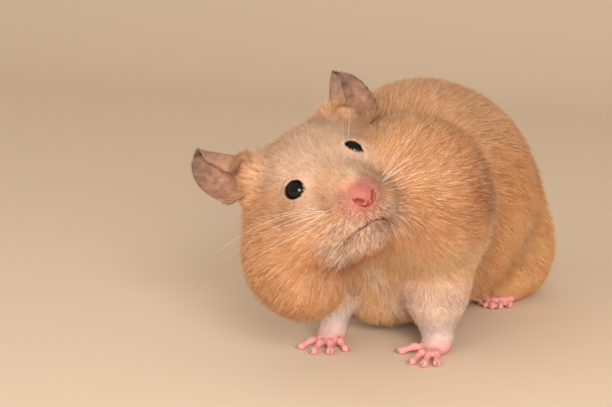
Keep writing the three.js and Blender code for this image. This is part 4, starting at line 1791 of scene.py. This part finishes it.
@dataclass(frozen=True)
class Ear:
    """A thin cupped ear, its front margin folded over the hollow and furred at its root."""

    side: int
    length: float = 18.0
    width: float = 14.0
    thick: float = 0.42
    rows: int = 80
    columns: int = 64
    roots: tuple[Triple, Triple] = ((16.0, 9.5, 4.0), (-16.3, 11.9, 6.5))
    sunk: float = 0.26

    def axes(self) -> tuple[Array, Array, Array]:
        """Directions in head lengths: to the front margin, out of the hollow, and up the ear."""
        s = self.side
        up = unit(np.array([0.46 * s, 0.72, 0.5]))
        opening = np.array([0.4 * s, -0.7, 0.6])
        front = unit(np.cross(opening, up)) * s
        return front, unit(opening - (opening @ up) * up), up

    def section(self, up: Array, over: Array) -> tuple[Array, Array, Array]:
        """A grid of cross-sections.

        Each is a path that starts at the back margin and turns steadily by the cup's angle, then turns
        over by the fold's angle in its last quarter. Its length swells from the root and tapers to the
        tip.

        Args:
            up: shares of the height, one for each row.
            over: places across, -1 at the back margin and 1 at the front, one for each column.

        Returns:
            Places towards the front margin, places out of the hollow, and the path's heading.
        """
        u, o = up[:, None], over[None, :]
        swell = 0.72 + 0.28 * np.sin(math.pi * np.minimum(0.5, 0.1 + np.maximum(u, 0)))
        taper = np.sqrt(np.maximum(1 - 0.975 * (np.maximum(0, (u - 0.40) / 0.60)) ** 2.4, 0.0))
        cup = np.radians(34 + 48 * fade(u, -0.12, 0.22) - 46 * np.clip(u, 0, 1))
        half = 0.5 * self.width * swell * taper * (0.42 + 0.58 * fade(u, -0.2, 0.20))
        radius = half / np.sin(cup)
        fold = np.radians(118) * fade(o, 0.46, 0.80) * fade(u, 0.04, 0.36) * (1 - 0.75 * fade(u, 0.70, 1.0))
        heading = o * cup + fold + 0.10 * np.sin(o * 7.0 + u * 5.0) * (1 - np.abs(o))
        wide = 1 + 0.28 * fade(o, 0.5, 0.7) + 0.10 * fade(o, -0.1, 0.4) * (1 - fade(u, 0.25, 0.7))
        step = radius * cup * wide * (over[1] - over[0])
        a = np.cumsum(np.cos(heading) * step, axis=1)
        b = np.cumsum(np.sin(heading) * step, axis=1)
        lean = 1.5 * u**2
        return a - half + lean, b - b[:, :1] + 0.25 * np.sin(u * 5.0), heading

    def build(self) -> tuple[bpy.types.Object, "EarSurface"]:
        """Closes the two sides of the sheet into a thin shell, round at its rim.

        Returns:
            The piece, and what the ear's down needs to grow on it.
        """
        front, opening, up_axis = self.axes()
        up = np.linspace(-self.sunk, 1.0, self.rows)
        over = np.linspace(-1.0, 1.0, self.columns)
        a, b, heading = self.section(up, over)
        origin = np.array(self.roots[0] if self.side == LEFT else self.roots[1])
        middle = origin + a[..., None] * front + b[..., None] * opening
        middle = middle + (up * self.length)[:, None, None] * up_axis
        hollow = -np.sin(heading)[..., None] * front + np.cos(heading)[..., None] * opening
        slim = self.thick * (1 - 0.5 * np.abs(over) ** 6) * (1.25 - 0.5 * np.clip(up, 0, 1))[:, None]
        inner = middle + hollow * (slim / 2)[..., None]
        outer = middle - hollow * (slim / 2)[..., None]
        grid = np.concatenate([outer, inner[:, ::-1]], axis=1)
        poles = np.stack([grid[0].mean(axis=0), middle[-1, self.columns // 2] + up_axis * 0.25])
        corners, faces = closed_grid(grid, poles)
        body = HEAD.to_body(corners)
        piece = add_mesh("ear_shell_" + side_name(self.side), body, faces)
        share = np.concatenate([np.tile(up[:, None], (1, 2 * self.columns)).ravel(), [-self.sunk, 1.0]])
        across = np.concatenate([np.tile(np.concatenate([over, over[::-1]]), (self.rows, 1)).ravel(), [0, 0]])
        is_inner = np.concatenate([
            np.tile(np.repeat([0.0, 1.0], self.columns), (self.rows, 1)).ravel(), [0, 0]])
        paint(piece, self.colours(share, across, is_inner))
        dress(piece, EarFinish().material(), Slot.EAR_SKIN, "ear_" + side_name(self.side))
        lengthwise = unit(up_axis @ HEAD.turn().T)
        normals = corner_normals(body, faces)
        return piece, EarSurface(body, faces, normals, lengthwise, share, across, is_inner)

    @staticmethod
    def colours(share: Array, across: Array, is_inner: Array) -> Array:
        """Colours of the shell: golden at the root, grey-pink in the hollow, dusky at tip and rim, with a
        painted shadow along the edge of the fold.
        """
        golden, pink = np.array([0.46, 0.24, 0.14]), np.array([0.30, 0.15, 0.092])
        dusky, back = np.array([0.14, 0.075, 0.05]), np.array([0.27, 0.15, 0.10])
        inner = pink + (dusky - pink) * np.clip(
            fade(share, 0.62, 1.0) * 0.75 + 0.5 * fade(np.abs(across + 0.1), 0.72, 1.0), 0, 1)[:, None]
        # painted shadow: a dark line on the hollow along the edge of the folded margin, which shades it
        crease = np.exp(-(((across - 0.52) / 0.10) ** 2)) * fade(share, 0.0, 0.2)
        inner = inner * (1 - np.outer(crease, (0.55, 0.72, 0.75)))
        strip = fade(across, 0.58, 0.75)
        flap = golden * 0.88 + (dusky - golden * 0.88) * fade(share, 0.35, 0.9)[:, None]
        inner = inner + (flap - inner) * strip[:, None]
        outer = golden + (back - golden) * fade(share, 0.1, 0.7)[:, None]
        return outer + (inner - outer) * is_inner[:, None]


@dataclass(frozen=True)
class EarSurface:
    """What down needs to grow on an ear: its mesh, the way up the ear, and where its corners lie.

    A corner lies at a share of the ear's height, at a place across it, and inside the hollow or not.
    """

    corners: Array
    faces: Array
    normals: Array
    lengthwise: Array
    share: Array
    across: Array
    is_inner: Array


@dataclass(frozen=True)
class EarDown:
    """Fine hair on an ear: golden and thick at the root, sparse and grey up the back and the fold."""

    side: int
    count: int = 15000
    seed: int = 31

    def grow(self, surface: EarSurface) -> bpy.types.Object:
        """Spikes on the shell, lying up the ear.

        A place is kept by chance, likelier low on the ear, on its back and on the fold. A hair's length
        falls from the root of the ear to its tip.

        Args:
            surface: the ear's shell.

        Returns:
            The piece.
        """
        rng = np.random.default_rng(self.seed + self.side)
        a, b, c = (surface.corners[surface.faces[:, k]] for k in range(3))
        area = np.linalg.norm(np.cross(b - a, c - a), axis=1) / 2
        known = (surface.share, surface.across, surface.is_inner)
        share, across, inner = (value[surface.faces].mean(axis=1) for value in known)
        back = 0.30 + 0.70 * (1 - fade(share, 0.1, 0.6))
        fold = 0.9 * fade(across, 0.45, 0.7) * (1 - fade(share, 0.5, 0.9))
        hollow = fold + 1.5 * (1 - fade(share, 0.06, 0.32))
        rim = 0.35 * fade(np.abs(across), 0.9, 1.0)
        weight = area * (back * (1 - inner) + hollow * inner + rim) * fade(share, -0.2, -0.1)
        pick, (w, u, v) = sprinkle(rng, weight, self.count)
        root = a[pick] * w + b[pick] * u + c[pick] * v
        up = surface.normals[surface.faces[pick, 0]]
        flow = surface.lengthwise + 0.25 * rng.normal(size=(self.count, 3))
        flow = unit(flow - (flow * up).sum(axis=1, keepdims=True) * up)
        high = share[pick]
        length = (3.0 - 2.1 * fade(high, 0.0, 0.6)) * rng.uniform(0.6, 1.25, self.count)
        lift = np.where(inner[pick] > 0.5, 0.24, 0.12) * rng.uniform(0.5, 1.5, self.count)
        tip = root + flow * length[:, None] + up * (length * lift)[:, None]
        golden, grey = np.array([0.56, 0.30, 0.165]), np.array([0.36, 0.20, 0.13])
        colour = golden + (grey - golden) * fade(high, 0.25, 0.7)[:, None]
        colour = colour * np.where(inner[pick] > 0.5, 0.84, 1.0)[:, None]
        colour = colour * (1 + 0.14 * rng.normal(size=self.count))[:, None]
        width = 0.11 * rng.uniform(0.7, 1.2, self.count) * (1.25 - 0.4 * fade(high, 0.0, 0.6))
        centre = tuple(surface.corners.mean(axis=0))
        region = Region("coat_ear_" + side_name(self.side), self.count, 2.0, 0.13, Unwrap.BARREL, centre,
                        tuple(surface.lengthwise))
        return spikes(region, root, tip, up, np.cross(up, flow), width, np.clip(colour, 0.02, 1.0))


# ------------------------------------------------------------------------------------ claws


def tube(path: Array, radii: Array, sides: int) -> tuple[Array, Array]:
    """Closed round tubes carried along paths.

    A ring of corners stands at right angles to the path at each place, with that place's radius, and
    one pole closes each end.

    Args:
        path: tubes by places by 3.
        radii: tubes by places.
        sides: how many corners in a ring.

    Returns:
        The corners and triangles of all the tubes.
    """
    tubes, places = path.shape[:2]
    ahead = unit(np.gradient(path, axis=1))
    helper = np.where(np.abs(ahead[..., 2:]) < 0.8, np.array([0.0, 0.0, 1.0]), np.array([1.0, 0.0, 0.0]))
    across = unit(np.cross(ahead, helper))
    up = np.cross(across, ahead)
    angle = np.linspace(0, 2 * math.pi, sides, endpoint=False)
    ring = np.cos(angle)[:, None] * across[:, :, None] + np.sin(angle)[:, None] * up[:, :, None]
    grid = path[:, :, None] + ring * radii[:, :, None, None]
    blunt = path[:, 0] - ahead[:, 0] * radii[:, :1] * 0.5
    point = path[:, -1] + ahead[:, -1] * radii[:, -1:]
    ends = np.stack([blunt, point], axis=1)
    corners = np.concatenate([grid.reshape(tubes, -1, 3), ends], axis=1)
    one = facing_out(corners[0], wrapped(places, sides))
    faces = one[None] + (np.arange(tubes) * (places * sides + 2))[:, None, None]
    return corners.reshape(-1, 3), faces.reshape(-1, 3)


@dataclass(frozen=True)
class Claws:
    """Slender claws, one on each toe, curving down to just above the floor."""

    length: float = 1.7
    base: float = 0.36
    places: int = 12
    sides: int = 10
    horn: Triple = (0.62, 0.36, 0.28)
    dark_tip: Triple = (0.24, 0.13, 0.09)

    def build(self) -> list[bpy.types.Object]:
        """One piece for the claws of each foot."""
        made = []
        for leg in FORM.forelegs:
            made.append(self.foot("claws_fore_" + side_name(leg.side), leg.toes(), 1.0))
        for hind in FORM.hindfeet:
            made.append(self.foot("claws_hind_" + side_name(hind.side), hind.toes(), 1.1))
        return made

    def foot(self, name: str, toes: Sequence[Toe], scale: float) -> bpy.types.Object:
        """The claws of one foot: each an arc forwards and down, its radius falling as a root.

        Args:
            name: the piece's name.
            toes: the foot's toes.
            scale: how much larger than a fore claw.

        Returns:
            The piece.
        """
        t = np.linspace(0, 1, self.places)
        start = np.array([np.array(toe.tip) + toe.forward() * 0.55 + np.array([0, 0, 0.35]) for toe in toes])
        ahead = np.array([toe.forward() for toe in toes])
        path = start[:, None] + ahead[:, None] * (t * self.length * scale)[None, :, None]
        path[..., 2] += 0.28 * np.sin(t * 2.2) - 0.95 * t**2
        path[..., 2] = np.maximum(path[..., 2], 0.12)
        radii = np.tile(self.base * scale * np.sqrt(np.maximum(1 - t, 0.01)) * (1 - 0.35 * t), (len(toes), 1))
        corners, faces = tube(path, radii, self.sides)
        corners[:, 2] = np.maximum(corners[:, 2], 0.02)
        piece = add_mesh(name, corners, faces)
        ring = np.concatenate([np.repeat(t, self.sides), [0, 1]])
        tip = np.tile(ring, len(toes))
        horn = np.tile(np.array(self.horn), (len(corners), 1))
        paint(piece, MARKINGS.lay(horn, self.dark_tip, fade(tip, 0.1, 0.8)))
        dress(piece, HornFinish().material(), Slot.BARE_SKIN)
        return piece


# ------------------------------------------------------------------------------------ whiskers


@dataclass(frozen=True)
class Whiskers:
    """Long tapering hairs from the whisker pads, and a few over each eye."""

    per_side: int = 24
    longest: float = 38.0
    radius: float = 0.038
    places: int = 14
    sides: int = 5
    foremost: float = -43.2
    hair: Triple = (0.90, 0.80, 0.66)
    seed: int = 19

    def build(self) -> list[bpy.types.Object]:
        """One piece for each side."""
        return [self.side_of(side) for side in (LEFT, RIGHT)]

    def side_of(self, side: int) -> bpy.types.Object:
        """The whiskers of one side.

        Each starts on the skin of the pad and runs out and back along a curve whose bend grows as the
        square of the way along. A hair that would pass the foremost place is drawn in to end there.

        Args:
            side: LEFT or RIGHT.

        Returns:
            The piece.
        """
        rng = np.random.default_rng(self.seed + side)
        n = self.per_side
        row, column = np.arange(n) % 4, np.arange(n) // 4
        root = np.stack([
            side * (4.6 + 0.55 * column + rng.uniform(-0.3, 0.3, n)),
            -13.6 + 1.0 * column + rng.uniform(-0.4, 0.4, n),
            -7.4 - 1.35 * row - 0.1 * column + rng.uniform(-0.35, 0.35, n),
        ], axis=1)
        brows = np.array([[side * 7.0, -2.6, 3.4], [side * 9.2, -1.8, 4.0], [side * 14.5, 3.0, -5.0]])
        root = np.concatenate([root, brows + rng.uniform(-0.3, 0.3, (3, 3))])
        body = HEAD.to_body(root)
        for _ in range(4):
            value, slope = gradient(FORM.skin, body)
            body = body - slope * (value / np.maximum((slope * slope).sum(axis=1), 0.2))[:, None]
        length = rng.uniform(0.32, 1.0, n) * (0.62 + 0.38 * column / 5) * np.where(row == 3, 0.55, 1.0)
        length = self.longest * np.concatenate([length, [0.3, 0.34, 0.4]])
        out = np.stack([
            np.full(n, side * 1.0),
            -0.22 + 0.08 * column + rng.uniform(-0.10, 0.10, n),
            (0.30 if side == LEFT else 0.66) - 0.25 * row + rng.uniform(-0.13, 0.13, n),
        ], axis=1)
        over_eyes = np.array([[side * 0.5, -0.2, 1.0], [side * 0.8, 0.1, 1.0], [side * 1.0, 0.2, -0.2]])
        out = unit(np.concatenate([out, over_eyes]))
        bend = np.stack([
            np.full(n + 3, -side * 0.06), np.full(n + 3, 0.20), -0.16 + rng.uniform(-0.14, 0.14, n + 3),
        ], axis=1)
        t = np.linspace(0, 1, self.places)
        way = out[:, None] * t[None, :, None] + bend[:, None] * (t**2)[None, :, None]
        path = (way * length[:, None, None]) @ HEAD.turn().T + body[:, None]
        path[..., 2] -= (0.004 * length[:, None] ** 2) * (t**2)[None]
        path[..., 2] = np.maximum(path[..., 2], 0.5)
        ahead = np.maximum(body[:, 1] - path[..., 1].min(axis=1), 0.1)
        drawn_in = np.clip((body[:, 1] - self.foremost) / ahead, 0.1, 1.0)
        path = body[:, None] + (path - body[:, None]) * drawn_in[:, None, None]
        radii = self.radius * (1 - 0.85 * t)[None, :] * (0.6 + 0.4 * length / self.longest)[:, None]
        corners, faces = tube(path, radii, self.sides)
        piece = add_mesh("whiskers_" + side_name(side), corners, faces)
        paint(piece, np.tile(np.array(self.hair), (len(corners), 1)))
        dress(piece, WhiskerFinish().material(), Slot.PALE_COAT)
        return piece


# ------------------------------------------------------------------------------------ studio


@dataclass(frozen=True)
class Studio:
    """A pale sweep of paper, soft lights and the camera."""

    place: Triple = (130.8, -381.2, 125.0)
    ahead: Triple = (-0.3667, 0.9076, -0.2045)
    right: Triple = (0.927, 0.375, 0.0)
    lens: float = 1520.0 * 36.0 / 612.0
    sensor: float = 36.0

    def build(self) -> None:
        """Sets up everything that isn't the animal."""
        self.sweep()
        self.light("key", (340, -540, 285), (0, 0, 30), 0.28, 4.0, (1.0, 0.97, 0.93))
        self.light("front", (60, -640, 20), (0, 0, 15), 0.8, 4.8, (1.0, 0.95, 0.90))
        self.light("fill", (-600, -700, 250), (0, 0, 30), 0.9, 3.3, (1.0, 0.96, 0.92))
        self.light("back", (-300, 700, 900), (0, 30, 40), 1.4, 2.4, (1.0, 0.97, 0.93))
        world = bpy.data.worlds.new("room_light")
        world.use_nodes = True
        shade = world.node_tree.nodes["Background"]
        shade.inputs["Color"].default_value = (1.0, 0.94, 0.86, 1.0)
        shade.inputs["Strength"].default_value = 0.44
        bpy.context.scene.world = world
        bpy.context.scene.view_settings.view_transform = "Standard"
        self.camera()

    def sweep(self) -> None:
        """The floor and the wall behind it: level, then a quarter circle, then upright, carried sideways."""
        bend, low, high = 400.0, -1500.0, 1500.0
        turn = np.linspace(0, math.pi / 2, 24)
        y = np.concatenate([np.linspace(low, 450, 12), 450 + bend * np.sin(turn[1:]), np.full(6, 450 + bend)])
        z = np.concatenate([np.zeros(12), bend * (1 - np.cos(turn[1:])), np.linspace(bend + 100, high, 6)])
        x = np.linspace(-1600, 1600, 9)
        row, column = (1, len(x)), (len(y), 1)
        grid = np.stack([np.tile(x, column), np.tile(y[:, None], row), np.tile(z[:, None], row)], axis=-1)
        number = np.arange(len(y) * len(x)).reshape(len(y), len(x))
        ring = (number[:-1, :-1], number[:-1, 1:], number[1:, 1:], number[1:, :-1])
        faces = np.stack(ring, axis=-1).reshape(-1, 4)
        paper = add_mesh("paper_sweep", grid.reshape(-1, 3), faces)
        s = Shader("pale_paper")
        s.set(Roughness=0.85, Specular_IOR_Level=0.2)
        s.join(s.mixed(s.span(s.noise(30.0), 0.0, 0.5), (0.76, 0.60, 0.45), (0.74, 0.58, 0.43)), "Base Color")
        paper.data.materials.append(s.material)

    def light(self, name: str, place: Triple, target: Triple, size: float, power: float,
              colour: Triple) -> None:
        """A square soft light.

        Args:
            name: its name.
            place: where it stands, in body lengths.
            target: what it faces.
            size: its side in metres.
            power: watts.
            colour: its colour.
        """
        lamp = bpy.data.lights.new(name, "AREA")
        lamp.shape, lamp.size, lamp.energy, lamp.color = "SQUARE", size, power, colour
        made = bpy.data.objects.new(name, lamp)
        bpy.context.scene.collection.objects.link(made)
        made.matrix_world = self.facing(np.array(place), unit(np.array(target, float) - np.array(place)))
        made.visible_glossy = name == "key"

    @staticmethod
    def facing(place: Array, ahead: Array, right: Array | None = None) -> Matrix:
        """The matrix of a thing that looks along its own -Z, held level unless right is given."""
        across = unit(np.cross(ahead, np.array([0.0, 0.0, 1.0]))) if right is None else unit(right)
        up = unit(np.cross(across, ahead))
        across = np.cross(ahead, up)
        where = packed(place[None])[0]
        rows = np.eye(4)
        rows[:3, 0], rows[:3, 1], rows[:3, 2], rows[:3, 3] = across, up, -ahead, where
        return Matrix(rows.tolist())

    def camera(self) -> None:
        """The camera: a long lens looking down a little."""
        lens = bpy.data.cameras.new("camera")
        lens.lens, lens.sensor_width, lens.sensor_fit = self.lens, self.sensor, "HORIZONTAL"
        lens.clip_start, lens.clip_end = 0.01, 20.0
        made = bpy.data.objects.new("camera", lens)
        bpy.context.scene.collection.objects.link(made)
        ahead, right = unit(np.array(self.ahead)), np.array(self.right)
        made.matrix_world = self.facing(np.array(self.place), ahead, right)
        bpy.context.scene.camera = made


# ------------------------------------------------------------------------------------ making it


def main() -> None:
    """Builds the studio and every piece of the animal."""
    logging.basicConfig(level=logging.INFO, format="%(message)s", stream=sys.stdout)
    Studio().build()
    skin = Skin()
    skin.build()
    Eye(LEFT).build()
    Eye(RIGHT).build()
    for side in (LEFT, RIGHT):
        EarDown(side).grow(Ear(side).build()[1])
    Claws().build()
    Whiskers().build()
    Coat(skin).grow()


if __name__ == "__main__":
    main()
